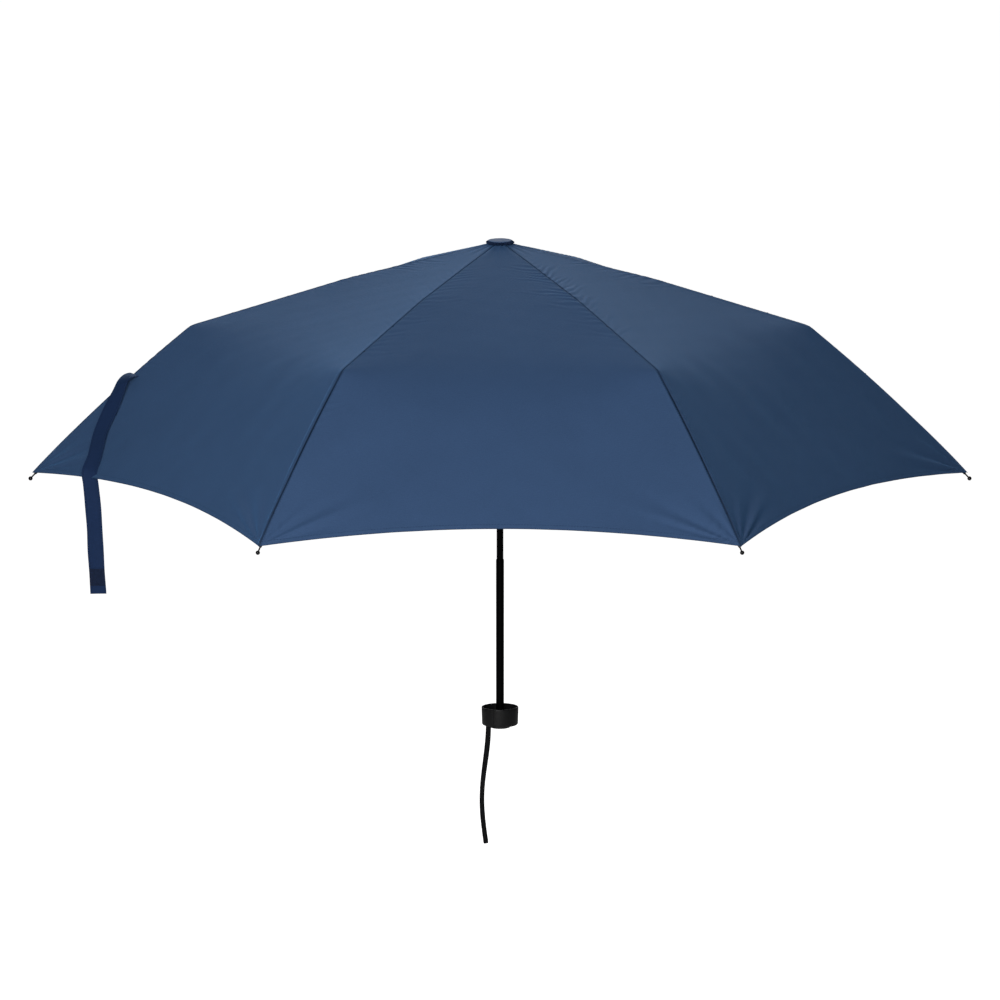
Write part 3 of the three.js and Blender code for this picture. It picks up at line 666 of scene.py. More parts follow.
softbox("key", (-0.55, -2.85, 1.05), (1.4, 1.2), 78)
softbox("top", (-0.1, -0.8, 3.0), (1.6, 1.2), 12)
softbox("back", (0.08, 2.6, 1.85), (3.0, 1.5), 40)
scene.view_settings.view_transform = "Standard"

# ---------------------------------------------------------------- canopy

CLOTH_RISE = 3.7 * MM
CLOTH_RISE_AT_TIP = 3 * MM
CLOTH_START = 2.2 * MM
ELBOW = INNER_LENGTH + MIDDLE_LENGTH
HEM_DISTANCE = ELBOW + OUTER_LENGTH - 5.5 * MM
HEM_SCALLOP = 22.5 * MM


def rib_line(origin, slope, length, rise):
    return (origin[0] + length * np.cos(slope) + rise * np.sin(slope),
            origin[1] - length * np.sin(slope) + rise * np.cos(slope))


def bow(distance):
    bend = OUTER_BOW / OUTER_LENGTH
    return np.sin(bend * distance) / bend, ROD_RISE - (1 - np.cos(bend * distance)) / bend


def seam(distance):
    """The cloth's face over a rib, as (distance from the shaft, height)."""
    d = np.asarray(distance, float)
    inner = rib_line(CROWN, INNER_SLOPE, d, CLOTH_RISE)
    middle = rib_line(FIRST, MIDDLE_SLOPE, d - INNER_LENGTH, CLOTH_RISE - PIVOT_RISE)
    along = d - ELBOW
    share = along / OUTER_LENGTH
    x, z = bow(along)
    lift = (CLOTH_RISE - 0.3 * MM) * (1 - share) + CLOTH_RISE_AT_TIP * share
    slope = OUTER_SLOPE + OUTER_BOW * share
    outer = (SECOND[0] + x * math.cos(OUTER_SLOPE) + z * math.sin(OUTER_SLOPE) + lift * np.sin(slope),
             SECOND[1] - x * math.sin(OUTER_SLOPE) + z * math.cos(OUTER_SLOPE) + lift * np.cos(slope))
    radius = np.where(d <= INNER_LENGTH, inner[0], np.where(d <= ELBOW, middle[0], outer[0]))
    height = np.where(d <= INNER_LENGTH, inner[1], np.where(d <= ELBOW, middle[1], outer[1]))
    return radius, height


# The seam's line softened over several widths: cloth away from a rib cuts its corners.
STEP = 0.5 * MM
line_at = np.arange(-0.12, 0.66, STEP)
line_r, line_z = seam(line_at)
SOFT_WIDTHS = np.array([1.5, 8, 18, 34, 60, 100]) * MM
soft_lines = []
for w in SOFT_WIDTHS:
    count = max(1, int(round(w / STEP)))
    kernel = np.ones(count) / count
    kernel = np.convolve(kernel, kernel)
    pad = len(kernel) // 2
    pair = []
    for values in (line_r, line_z):
        ends = np.concatenate([values[0] + (values[1] - values[0]) * np.arange(-pad, 0), values,
                               values[-1] + (values[-1] - values[-2]) * np.arange(1, pad + 1)])
        pair.append(np.convolve(ends, kernel, "valid")[:len(values)])
    soft_lines.append(pair)


def soft_seam(d, width):
    place = np.interp(width, SOFT_WIDTHS, np.arange(len(SOFT_WIDTHS)))
    low = np.clip(np.floor(place).astype(int), 0, len(SOFT_WIDTHS) - 2)
    part = place - low
    r = np.stack([np.interp(d, line_at, pair[0]) for pair in soft_lines])
    z = np.stack([np.interp(d, line_at, pair[1]) for pair in soft_lines])
    pick = lambda table: (np.take_along_axis(table, low[None], 0)[0] * (1 - part)
                          + np.take_along_axis(table, low[None] + 1, 0)[0] * part)
    return pick(r), pick(z)


slope_r = np.gradient(soft_lines[2][0], STEP) * math.cos(SECTOR / 2)
slope_z = np.gradient(soft_lines[2][1], STEP)

waves = rng.uniform(0, 2 * math.pi, (RIBS, 40))
uneven = rng.uniform(0.6, 1.4, (RIBS, 40))


def bell(x, middle, width):
    return np.exp(-((x - middle) / width) ** 2)


def smooth(x, low, high):
    t = np.clip((x - low) / (high - low), 0, 1)
    return t * t * (3 - 2 * t)


for panel, places, strength in ((4, (0, 3), 1.5), (5, (8, 11), 1.6), (4, (8, 11), 0.8), (3, (0, 3), 0.85)):
    for n in places:
        uneven[panel, n] = strength

FOLD_DEPTH = (0.9, 1.0, 0.9, 0.8, 0.5, 1.7)  # how deep each panel's own long folds are


# Puckers beside a seam, in millimetres: where their middle lies, its spread, their reach, height and pitch.
PUCKERS = ((84, 26, 17, 0.22, 8.5), (205, 42, 18, 0.11, 12.5), (268, 30, 20, 0.09, 14),
           (140, 32, 19, 0.22, 10.5), (360, 26, 12, 0.12, 10))
# Creases from a rib's tip: heading and spread in degrees, height and length in millimetres.
CREASES = ((17, 3.2, -0.8, 95), (24, 3.4, 0.9, 120), (32, 4.0, -0.75, 110), (41, 4.6, 0.55, 85),
           (52, 5, -0.45, 70), (60, 3.5, 0.35, 55))
# The hem's turned-under rows, in millimetres: how far back from the edge, and how far under the cloth.
HEM_FOLD = ((0.0, -0.42), (1.8, -0.5), (3.6, -0.5), (5.6, -0.48))


def wrinkles(panel, d, across, half):
    """How far the cloth stands out from the smooth panel: puckers, creases and long folds."""
    p, u = waves[panel], uneven[panel]
    lateral = across * half
    beside = half * (1 - np.abs(across))
    side = (across > 0).astype(int)
    out = np.zeros_like(d)
    # puckers square to the seam, where the thread pulls
    for n, (middle, spread, length, size, pitch) in enumerate(PUCKERS):
        strong = np.where(side == 1, u[n] ** 2, u[n + 8] ** 2)
        phase = np.where(side == 1, p[n], p[n + 8])
        reach = length * MM * (0.75 + 0.35 * np.sin(2 * math.pi * d / (31 * MM) + phase))
        drift = 1.3 * np.sin(2 * math.pi * d / (47 * MM)
                             + phase) + 0.8 * np.sin(2 * math.pi * (beside + 0.3 * d) / (26 * MM) + 2 * phase)
        wave = np.sin(2 * math.pi * (d + 0.34 * beside) / (pitch * MM) + phase + drift)
        out += size * MM * strong * bell(d, middle * MM,
                                         spread * MM) * np.exp(-(beside / (1.5
                                                 * reach)) ** 2) * smooth(beside, 0, 3 * MM) * wave
    # creases that fan out from the rib's tip
    rise = HEM_DISTANCE - d
    flat_x = beside + 0.385 * rise
    flat_y = 0.923 * rise
    away = np.hypot(flat_x, flat_y)
    angle = np.degrees(np.arctan2(flat_y, np.maximum(flat_x, 1e-9)))
    for n, (heading, spread, size, far) in enumerate(CREASES):
        strong = np.where(side == 1, u[n + 16], u[n + 24])
        turned = heading + np.where(side == 1, 2.5 * np.sin(p[n]), 2.5 * np.cos(p[n]))
        out += 1.4 * size * MM * strong * bell(angle, turned, spread) * smooth(away, 2 * MM,
                34 * MM) * (1 - smooth(away, far * 0.45 * MM, far * 1.25 * MM))
    # long soft folds down the panel
    fold = (np.sin(2 * math.pi * (lateral + 0.10 * d) / (61 * MM) + p[30])
            + 0.7 * np.sin(2 * math.pi * (lateral - 0.17 * d) / (43 * MM) + p[31])
            + 0.5 * np.sin(2 * math.pi * (lateral + 0.31 * d) / (88 * MM) + p[32]))
    patchy = 0.55 + 0.45 * np.sin(2 * math.pi * (lateral + 0.6 * d) / (190 * MM)
                                  + p[35]) * np.sin(2 * math.pi * (d - 0.3 * lateral) / (150 * MM) + p[36])
    body = patchy * smooth(d, 250 * MM,
                           350 * MM) * (1 - 0.45 * smooth(d, 430 * MM, 520 * MM)) * (1 - across ** 4)
    out += 0.3 * MM * FOLD_DEPTH[panel] * fold * body
    # slight unevenness all over
    ripple = (np.sin(2 * math.pi * (d + 0.4 * lateral) / (37 * MM)
                     + p[33]) * np.sin(2 * math.pi * (lateral - 0.2 * d) / (53 * MM) + p[34]))
    out += 0.07 * MM * ripple * smooth(d, 30 * MM, 90 * MM) * (1 - across ** 6)
    # gathers round the cap
    out += 0.3 * MM * np.cos(across * 3 * math.pi) * (1 - smooth(d, 12 * MM, 46 * MM))
    return out


def surface(panel, d, across):
    """A point of the canopy on a panel: across runs from -1 at its first rib to 1 at its second."""
    soft = 1 - across ** 2
    reach = smooth(d, 0, 120 * MM)
    r, z = soft_seam(d, (2.2 + 92 * soft * reach) * MM)
    half = r * math.sin(SECTOR / 2)
    tr = np.interp(d, line_at, slope_r)
    tz = np.interp(d, line_at, slope_z)
    size = np.hypot(tr, tz)
    nr, nz = -tz / size, tr / size
    hollow = (1.0 + 4.2 * smooth(d, 60 * MM, 330 * MM) - 2.4 * smooth(d, 400 * MM, 520 * MM)) * MM * reach
    off = -hollow * soft + wrinkles(panel, d, across, half)
    beside = half * (1 - np.abs(across))
    open_seam = 0.35 + 0.65 * smooth(d, 300 * MM, 330 * MM) * (1 - smooth(d, 440 * MM, 500 * MM))
    off -= 1.7 * MM * open_seam * bell(beside, 0, (0.55 + 0.75 * open_seam) * MM)
    # the seam allowance lies folded under one side and stands the cloth up
    under = np.where(across > 0, panel != 4, panel == 5)
    broad = (6.6 - 3.2 * smooth(d, 430 * MM, 520 * MM)) * MM
    flap = under * (1 - smooth(beside, 0.8 * broad, broad)) * smooth(beside, 0.3 * MM, 1.2 * MM)
    off += 0.5 * MM * flap * (0.4 + 0.6 * smooth(d, 290 * MM, 330 * MM)) * smooth(d, 20 * MM, 60 * MM)
    middle = (panel + 0.5) * SECTOR
    out_r = r * math.cos(SECTOR / 2) + off * nr
    side = across * half
    return np.stack([*about_shaft(out_r, side, middle), z + off * nz], axis=-1)


def normal(panel, d, across):
    down, beside = 0.25 * MM, 0.0012
    along = surface(panel, d + down, across) - surface(panel, d - down, across)
    low, high = np.maximum(across - beside, -1), np.minimum(across + beside, 1)
    sideways = surface(panel, d, high) - surface(panel, d, low)
    out = np.cross(along, sideways)
    return out / np.linalg.norm(out, axis=-1)[..., None]


def hem_at(across):
    return HEM_DISTANCE - HEM_SCALLOP * (1 - across ** 2)


def fold_line(start, slope, v):
    """The distance at which a line square to the rib, from its pivot, meets the share v of the half panel."""
    d = np.full_like(v, start)
    for _ in range(12):
        d = start + 0.5 * math.cos(slope) * v * np.interp(d, line_at, line_r) * math.sin(SECTOR / 2)
    return d


def columns(half, count=36):
    """Places across a half panel, from the seam to the middle, closer near the seam."""
    near = np.array([0, 0.45, 0.9, 1.4, 2.0, 2.8, 3.8, 4.8, 6.0, 7.5]) * MM
    near = near[None] * np.minimum(1, half / (24 * MM))[:, None]
    share = np.linspace(0, 1, count + 1)[1:]
    rest = near[:, -1:] + (half[:, None] - near[:, -1:]) * share[None] ** 1.08
    return np.concatenate([near, rest], axis=1) / half[:, None]


SEGMENTS = (("top", "rib_inner", 62), ("middle", "rib_middle", 58), ("elbow", "rib_middle", 20),
            ("lower", "rib_outer", 84))
slopes = {"top": INNER_SLOPE, "middle": MIDDLE_SLOPE, "elbow": MIDDLE_SLOPE,
          "lower": OUTER_SLOPE + OUTER_BOW / 2}
ELBOW_TILT = math.radians(4.6)


def cloth_piece(rib, side, segment, body, rows):
    """One part of the canopy: half a panel's width beside a rib, along one of the rib's three links."""
    panel = rib if side > 0 else (rib - 1) % RIBS
    sign = -side
    v0 = np.linspace(0, 1, 400)
    bounds = {
        "top": (CLOTH_START + 0 * v0, fold_line(INNER_LENGTH, INNER_SLOPE, v0)),
        "middle": (fold_line(INNER_LENGTH, INNER_SLOPE, v0), ELBOW + 0 * v0),
        "elbow": (ELBOW + 0 * v0, fold_line(ELBOW, OUTER_SLOPE, v0)),
        "lower": (fold_line(ELBOW, OUTER_SLOPE, v0), hem_at(1 - v0)),
    }[segment]
    t = np.linspace(0, 1, rows + 1)
    if segment == "lower":
        t = 1 - (1 - t) ** 1.12
    guess = np.interp(0.5, v0, bounds[0]) + (np.interp(0.5, v0, bounds[1]) - np.interp(0.5, v0,
            bounds[0])) * t
    half = np.interp(guess, line_at, line_r) * math.sin(SECTOR / 2)
    v = columns(half)
    if segment == "elbow":
        v = np.repeat(v[-1:], rows + 1, axis=0)
    low, high = np.interp(v, v0, bounds[0]), np.interp(v, v0, bounds[1])
    d = low + (high - low) * t[:, None]
    across = sign * (1 - v)
    points = surface(panel, d, across)
    normals = normal(panel, d, across)
    if segment == "lower":
        # the hem is folded under and sewn down
        for back, lift in HEM_FOLD:
            row_d = d[rows:rows + 1] - back * MM
            lifted = surface(panel, row_d, across[rows:rows + 1]) + normals[rows:rows + 1] * lift * MM
            points = np.concatenate([points, lifted])
            normals = np.concatenate([normals, -normals[rows:rows + 1]])
            d = np.concatenate([d, row_d])
            v = np.concatenate([v, v[rows:rows + 1]])
    count_rows, count_columns = points.shape[:2]
    faces = grid_faces(count_rows, count_columns)
    if side > 0:
        faces = [face[::-1] for face in faces]
    width_here = np.interp(d, line_at, line_r) * math.sin(SECTOR / 2)
    beside = v * width_here
    name = f"canopy_{segment}_{rib + 1}{'a' if side > 0 else 'b'}"
    mesh = bpy.data.meshes.new(name)
    mesh.from_pydata(points.reshape(-1, 3).tolist(), [], faces)
    index = np.zeros(len(mesh.loops), np.int32)
    mesh.loops.foreach_get("vertex_index", index)
    sheet_uv = np.stack([beside * side, d], axis=-1).reshape(-1, 2)
    to_hem = hem_at(1 - v) - d
    hem_uv = np.stack([beside, to_hem], axis=-1).reshape(-1, 2)
    for layer_name, uv in ((CLOTH_UV, sheet_uv), (HEM_UV, hem_uv)):
        layer = mesh.uv_layers.new(name=layer_name)
        layer.data.foreach_set("uv", uv.astype(np.float32)[index].ravel())
    mesh.polygons.foreach_set("use_smooth", [True] * len(mesh.polygons))
    mesh.normals_split_custom_set_from_vertices(normals.reshape(-1, 3).tolist())
    mesh.materials.append(CANOPY)
    piece = bpy.data.objects.new(name, mesh)
    scene.collection.objects.link(piece)
    e1 = points[1:, :-1] - points[:-1, :-1]
    e2 = points[:-1, 1:] - points[:-1, :-1]
    e3 = points[1:, 1:] - points[:-1, 1:]
    e4 = points[1:, 1:] - points[1:, :-1]
    area = float((np.linalg.norm(np.cross(e1, e2), axis=-1) + np.linalg.norm(np.cross(e3, e4),
            axis=-1)).sum() / 2)
    # the flat cut: its width across the panel and its length down the panel's middle
    centre_line = np.hypot(np.gradient(line_r) * math.cos(SECTOR / 2), np.gradient(line_z))
    down = np.interp(d, line_at, np.cumsum(centre_line))
    lateral = width_here * (1 - v)
    flat = (max(float(np.ptp(lateral)), 0.012), float(np.ptp(down)))
    area = min(area, flat[0] * flat[1])
    slope = slopes[segment]
    t_dir = np.array([math.cos(slope), 0, -math.sin(slope)])
    n_dir = np.array([math.sin(slope), 0, math.cos(slope)])
    chord = np.array([-0.5, side * math.sqrt(0.75), 0])
    axis = chord - (chord @ t_dir) * t_dir
    axis /= np.linalg.norm(axis)
    if segment == "elbow":
        axis = math.cos(ELBOW_TILT) * axis - math.sin(ELBOW_TILT) * n_dir
    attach(piece, f"{body}_{rib + 1}")
    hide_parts(f"canopy_panel_{panel + 1}")
    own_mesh(piece)
    return piece


for rib in range(RIBS):
    for side in (1, -1):
        for segment, body, rows in SEGMENTS:
            cloth_piece(rib, side, segment, body, rows)

# ---------------------------------------------------------------- cap

RUFFLE_RADIUS = 14.1 * MM
ruffle_low, ruffle_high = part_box("cap_ruffle")
cap_low, cap_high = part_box("cap_disc")
pleats = 22
turns = np.linspace(0, 2 * math.pi, 416, endpoint=False)
drift = 0.35 * np.sin(3 * turns + 0.7) + 0.25 * np.sin(5 * turns + 2.1)
fold = np.sin(pleats * turns + 2.2 * drift)
middle_z = (ruffle_low.z + ruffle_high.z) / 2 - 1.2 * MM
half_z = (ruffle_high.z - ruffle_low.z) / 2 + 0.6 * MM
loop_outline = []
for k in range(18):
    # round the ruffle's section: out along the top, over its crushed edge and back underneath
    a = math.pi * (0.5 - k / 17)
    loop_outline.append((math.cos(a), math.sin(a)))
rows_at = []
inner_r = 3.6 * MM
for cx, cz in [(0.0, 0.92)] + loop_outline + [(0.0, -0.92)]:
    out = max(cx, 0.0)
    radius = inner_r + (RUFFLE_RADIUS - 1.2 * MM - inner_r) * (0.62 + 0.38 * out if (cx,
            cz) in loop_outline else 0.0)
    radius = radius + 1.35 * MM * out * fold + 0.3 * MM * out * np.sin(7 * turns + 1.0)
    height = middle_z + half_z * cz * (0.80
                                       + 0.12 * np.cos(pleats * turns + 2.2 * drift
                                                       + 0.9)) + 0.28 * MM * out * np.sin(pleats * turns + 1.6
                                                               + 2.2 * drift)
    rows_at.append(np.stack([radius * np.cos(turns), radius * np.sin(turns), height + 0 * turns], axis=1))
points = np.array(rows_at)
build = Build()
rows_n, columns_n = points.shape[:2]
arc = np.cumsum(np.linalg.norm(np.diff(points[:, 0], axis=0, prepend=points[:1, 0]), axis=1))
uv = [(float(a), float(t * RUFFLE_RADIUS)) for a in arc for t in turns]
build.add(points, grid_faces(rows_n, columns_n, wrap_rows=True, wrap_columns=True), None, uv)
make("cap_gathers", build, RUFFLE_CLOTH, "top_tube", ["cap_ruffle"], sharp=80)

build = Build()
CAP_STEM = 3 * MM
CAP_OVERHANG = 2.5 * MM
CAP_SINK = 2.9 * MM
edge = cap_high.x + CAP_OVERHANG
top = cap_high.z - CAP_SINK
low = ruffle_high.z - 1.7 * MM
profile = rounded([(0, cap_low.z, 0), (CAP_STEM, cap_low.z, 0.2 * MM), (CAP_STEM, low, 0.3 * MM),
                   (edge - 0.5 * MM, low, 0.3 * MM),
                   (edge, low + 0.6 * MM, 0.4 * MM), (edge - 0.7 * MM, top - 0.35 * MM, 0.7 * MM),
                   (edge - 2.4 * MM, top, 1.2 * MM),
                   (edge - 3.6 * MM, top, 0.3 * MM), (edge - 4.0 * MM, top - 0.2 * MM, 0.2 * MM),
                   (0, top - 0.2 * MM, 0)], closed=False)
lathe(build, profile, 96, closed=False)
make("cap_button", build, CAP, "top_tube", ["cap_disc"])

# ---------------------------------------------------------------- handle

cup_low, cup_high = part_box("handle_cup")
base_low, base_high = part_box("handle_base")
CUP = cup_high.x
rim = cup_high.z
bottom = cup_low.z
MOULD_LINE = math.radians(-109)
line_angles = [MOULD_LINE + math.radians(a) for a in (-1.5, -1.0, 0, 1.0, 1.5)]


def mould_line(angle, radius, height):
    away = np.abs((angle - MOULD_LINE + math.pi) % (2 * math.pi) - math.pi)
    return -0.4 * MM * (away < math.radians(1.1)) * (radius > CUP - 1.2 * MM)


CUP_FLOOR = 8.5 * MM
BOSS_TOP = 12 * MM
BOSS_BORE = 4.12 * MM
SOCKET_RADIUS = 7.2 * MM
SOCKET_TOP = 5.4 * MM
outline = [(SOCKET_RADIUS, bottom, 0.15 * MM), (CUP - 0.5 * MM, bottom, 1.7 * MM),
           (CUP - 0.02 * MM, rim - 3.2 * MM, 3 * MM),
           (CUP, rim, 0.72 * MM), (CUP - 1.5 * MM, rim, 0.7 * MM), (CUP - 1.75 * MM, CUP_FLOOR, 1.3 * MM),
           (6.3 * MM, CUP_FLOOR, 0.8 * MM),
           (5.6 * MM, BOSS_TOP, 0.5 * MM), (BOSS_BORE, BOSS_TOP, 0.2 * MM), (BOSS_BORE, SOCKET_TOP, 0),
           (SOCKET_RADIUS, SOCKET_TOP, 0)]
build = Build()
lathe(build, rounded(outline, 6), 128, extra=line_angles, shift=mould_line)
cup = make("handle_cup_shell", build, HANDLE, None, sharp=38)
cutter = Build()
box_cutter(cutter, (LOOP_RADIUS, 0, bottom + 1.5 * MM), (5 * MM, 9 * MM, 5 * MM), LOOP_ANGLE)
cut(cup, cutter)
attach(cup, "handle")
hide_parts("handle_cup")

BASE_SHELF = 2.95 * MM
PLUG_RADIUS = 7 * MM
PLUG_TOP = 5.2 * MM
build = Build()
edge = base_high.x
profile = rounded([(0, 0, 0), (edge - 1.9 * MM, 0, 0.5 * MM), (edge - 0.5 * MM, 0.5 * MM, 0.9 * MM),
                   (edge, 1.8 * MM, 0.8 * MM), (edge, BASE_SHELF, 0.15 * MM),
                   (PLUG_RADIUS, BASE_SHELF, 0.1 * MM), (PLUG_RADIUS, PLUG_TOP, 0.1 * MM), (0, PLUG_TOP, 0)],
                   closed=False)
lathe(build, profile, 96, closed=False)
for radius in (6.2 * MM, 3.1 * MM):
    ring(build, radius, 0.12 * MM, 0.1 * MM, 72)
make("handle_base_plug", build, HANDLE, "handle", ["handle_base"])

build = Build()
turn_to_loop = lambda p: np.stack([*about_shaft(p[:, 2], p[:, 1], LOOP_ANGLE), p[:, 0]], axis=1)
pin_half = 2.45 * MM
profile = rounded([(0, -pin_half, 0), (0.8 * MM, -pin_half, 0.15 * MM), (0.8 * MM, pin_half, 0.15 * MM),
                   (0, pin_half, 0)], closed=False)
lathe(build, [(r, h + LOOP_RADIUS) for r, h in profile], 20, closed=False,
      place=lambda p: turn_to_loop(np.stack([p[:, 0] + LOOP_PIN_HEIGHT, p[:, 1], p[:, 2]], axis=1)))
make("wrist_pin_rod", build, WIRE, "handle", ["wrist_pin"])

# ---------------------------------------------------------------- shaft

LOWER_HOLE, UPPER_HOLE = 157.3, 292.3
HOLE_RADIUS = 1.35 * MM
BUTTON_RADIUS = 1.1 * MM
# Each tube's node and body, then in millimetres its radius, wall, bottom, top and button holes.
TUBES = (("lower_tube", "handle", 4.0, 0.5, 5.5, 171.3, (LOWER_HOLE,)),
         ("middle_tube", "middle_tube", 3.4, 0.4, 146.3, 306.3, (LOWER_HOLE, UPPER_HOLE)),
         ("top_tube", "top_tube", 2.8, 0.4, 281.3, 491.0, (UPPER_HOLE,)))
for name, body, radius, wall, low, high, holes in TUBES:
    outline = [(radius - wall, low, 0.08), (radius, low, 0.15), (radius, high - 2.6, 0), (radius, high, 0.28),
               (radius - wall, high, 0.12)]
    outline = [(a * MM, b * MM, c * MM) for a, b, c in outline]
    build = Build()
    lathe(build, rounded(outline, 4), 64)
    made = make(f"{name}_barrel", build, TUBE, None)
    cutter = Build()
    for height in holes:
        hole = rounded([(0, 1.5 * MM, 0), (HOLE_RADIUS, 1.5 * MM, 0), (HOLE_RADIUS, 7 * MM, 0),
                        (0, 7 * MM, 0)], closed=False)
        lathe(cutter, hole, 24, closed=False, place=lambda p: to_y(p) + np.array([0, 0, height * MM]))
    cut(made, cutter)
    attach(made, body)
    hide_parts(name)

for name, body, out, height, slide in (("lower_button", "middle_tube", 4.3, LOWER_HOLE, "middle_tube_slide"),
                                       ("upper_button", "top_tube", 3.45, UPPER_HOLE, "top_tube_slide")):
    build = Build()
    out = out * MM
    start = out - 1.4 * MM
    profile = rounded([(0, start, 0), (BUTTON_RADIUS, start, 0.1 * MM), (1.08 * MM, out - 0.8 * MM, 0.7 * MM),
                       (0.35 * MM, out, 0.3 * MM), (0, out, 0)], 5, closed=False)
    lathe(build, profile, 32, closed=False, place=lambda p: to_y(p) + np.array([0, 0, height * MM]))
    made = make(f"{name}_pin", build, WIRE, body, [name])
    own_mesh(made)

# ---------------------------------------------------------------- crown and runner

crown_z = CROWN[1]
runner_z = RUNNER[1]


PIVOT_RADIUS = 7.5 * MM
WIRE_RADIUS = 0.45 * MM
GROOVE_RADIUS = 0.6 * MM
STRUT_SLOT = (7.4 * MM, 1.8 * MM, 8 * MM)


def slotted(name, outline, height, body, node):
    """A turned collar with a slot for each rib and a groove for the wire they turn on."""
    build = Build()
    lathe(build, rounded([(a * MM, b * MM, c * MM) for a, b, c in outline], 4), 96)
    made = make(name, build, NOTCH, None)
    cutter = Build()
    for k in range(RIBS):
        box_cutter(cutter, (9.7 * MM, 0, height), STRUT_SLOT, k * SECTOR)
    cut(made, cutter)
    cutter = Build()
    ring(cutter, PIVOT_RADIUS, GROOVE_RADIUS, height, 48)
    cut(made, cutter)
    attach(made, body)
    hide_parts(node)
    return made


c = crown_z / MM
slotted("crown_collar", [(2.9, c - 12, 0.2), (4.3, c - 12, 0.4), (4.3, c - 3.2, 0.5), (5.3, c - 2.2, 0.4),
                         (10, c - 2.2, 0.5), (10, c + 1.6, 0.5), (2.9, c + 1.6, 0.1)],
        crown_z, "top_tube", "crown")
r = runner_z / MM
slotted("runner_collar", [(4.3, r - 26, 0.2), (7.9, r - 26, 0.8), (7.5, r - 23, 0.8), (5.5, r - 22, 0.8),
                          (5.5, r - 2.2, 0.5), (10, r - 2.2, 0.5), (10, r + 2.2, 0.5),
                          (5.5, r + 2.2, 0.3), (5.5, r + 6, 0.5), (4.3, r + 6, 0.2)], runner_z, "runner",
                          "runner")
for name, height, body in (("crown_wire", crown_z, "top_tube"), ("runner_wire", runner_z, "runner")):
    build = Build()
    ring(build, PIVOT_RADIUS, WIRE_RADIUS, height)
    make(f"{name}_loop", build, WIRE, body, [name])

catch_top = runner_z - 26.3 * MM
build = Build()
plate(build, rounded([(3 * MM, catch_top - 13 * MM, 0.1 * MM), (5.6 * MM, catch_top - 1.2 * MM, 0.6 * MM),
                      (5.6 * MM, catch_top, 0.3 * MM), (3 * MM, catch_top, 0.1 * MM)], 3),
      -0.8 * MM, 0.8 * MM, lambda p: np.stack([-p[:, 1], p[:, 0], p[:, 2]], axis=1))
made = make("runner_catch_spring", build, WIRE, "top_tube", ["runner_catch"], bevel=0.12 * MM)
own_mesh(made)

# ---------------------------------------------------------------- ribs


def rib_place(rib, origin, slope):
    azimuth = rib * SECTOR

    def place(p):
        x = origin[0] + p[:, 0] * math.cos(slope) + p[:, 2] * math.sin(slope)
        z = origin[1] - p[:, 0] * math.sin(slope) + p[:, 2] * math.cos(slope)
        return np.stack([*about_shaft(x, p[:, 1], azimuth), z], axis=1)

    return place


def channel(build, start, end, middle, half, place, opening=-1, edge=RIB_EDGE):
    """A folded-sheet channel along x with round bends, open on one side."""
    mouth, back_z = middle + opening * half, middle - opening * half
    floor_z = back_z + opening * RIB_SHEET
    inside = edge - RIB_SHEET
    outline = [(-edge, mouth, 0.1 * MM), (-edge, back_z, 0.6 * MM), (edge, back_z, 0.6 * MM),
               (edge, mouth, 0.1 * MM),
               (inside, mouth, 0.1 * MM), (inside, floor_z, 0.2 * MM), (-inside, floor_z, 0.2 * MM),
               (-inside, mouth, 0.1 * MM)]
    shape = rounded(outline, 3)
    xs = np.linspace(start, end, 12)
    path = np.stack([xs, 0 * xs, 0 * xs], axis=1)
    sides = np.repeat([[0.0, 1.0, 0.0]], len(xs), axis=0)
    lifts = np.repeat([[0.0, 0.0, 1.0]], len(xs), axis=0)
    return sweep(build, path, (sides, lifts), shape, place)


def both_sides(build, outline, place, edge=RIB_EDGE):
    plate(build, outline, edge - RIB_SHEET, edge, place)
    plate(build, outline, -edge, RIB_SHEET - edge, place)


def rivet(build, x, z, place):
    """A pin with two domed heads."""
    reach, radius = 1.9 * MM, 0.5 * MM
    half = [(0, reach), (0.55 * radius, reach - 0.03 * MM), (0.9 * MM, reach - 0.14 * MM),
            (0.95 * MM, reach - 0.27 * MM), (radius, reach - 0.3 * MM)]
    profile = half + [(r, -h) for r, h in reversed(half)]
    lathe(build, profile, 20, closed=False, place=lambda p: place(to_y(p) + np.array([x, 0, z])))


def tie(build, x, z, size, place):
    """Thread wound round a rib where the cloth is sewn to it."""
    turns, steps = 4, 20
    angle = np.linspace(0, 2 * math.pi * turns, steps * turns)
    path = np.stack([x + 0.34 * MM * np.linspace(-2, 2, len(angle)), size[0] * np.cos(angle),
                     z + size[1] * np.sin(angle)], axis=1)
    sweep(build, path, directions(path, (1, 0, 0)), round_section(0.16 * MM, 6), place)


def make_link(link, ending, build, look):
    """A rib's link or a stretcher, which stands for the node and body of the same name."""
    make(f"{link}_{ending}", build, look, link, [link], weld=False)


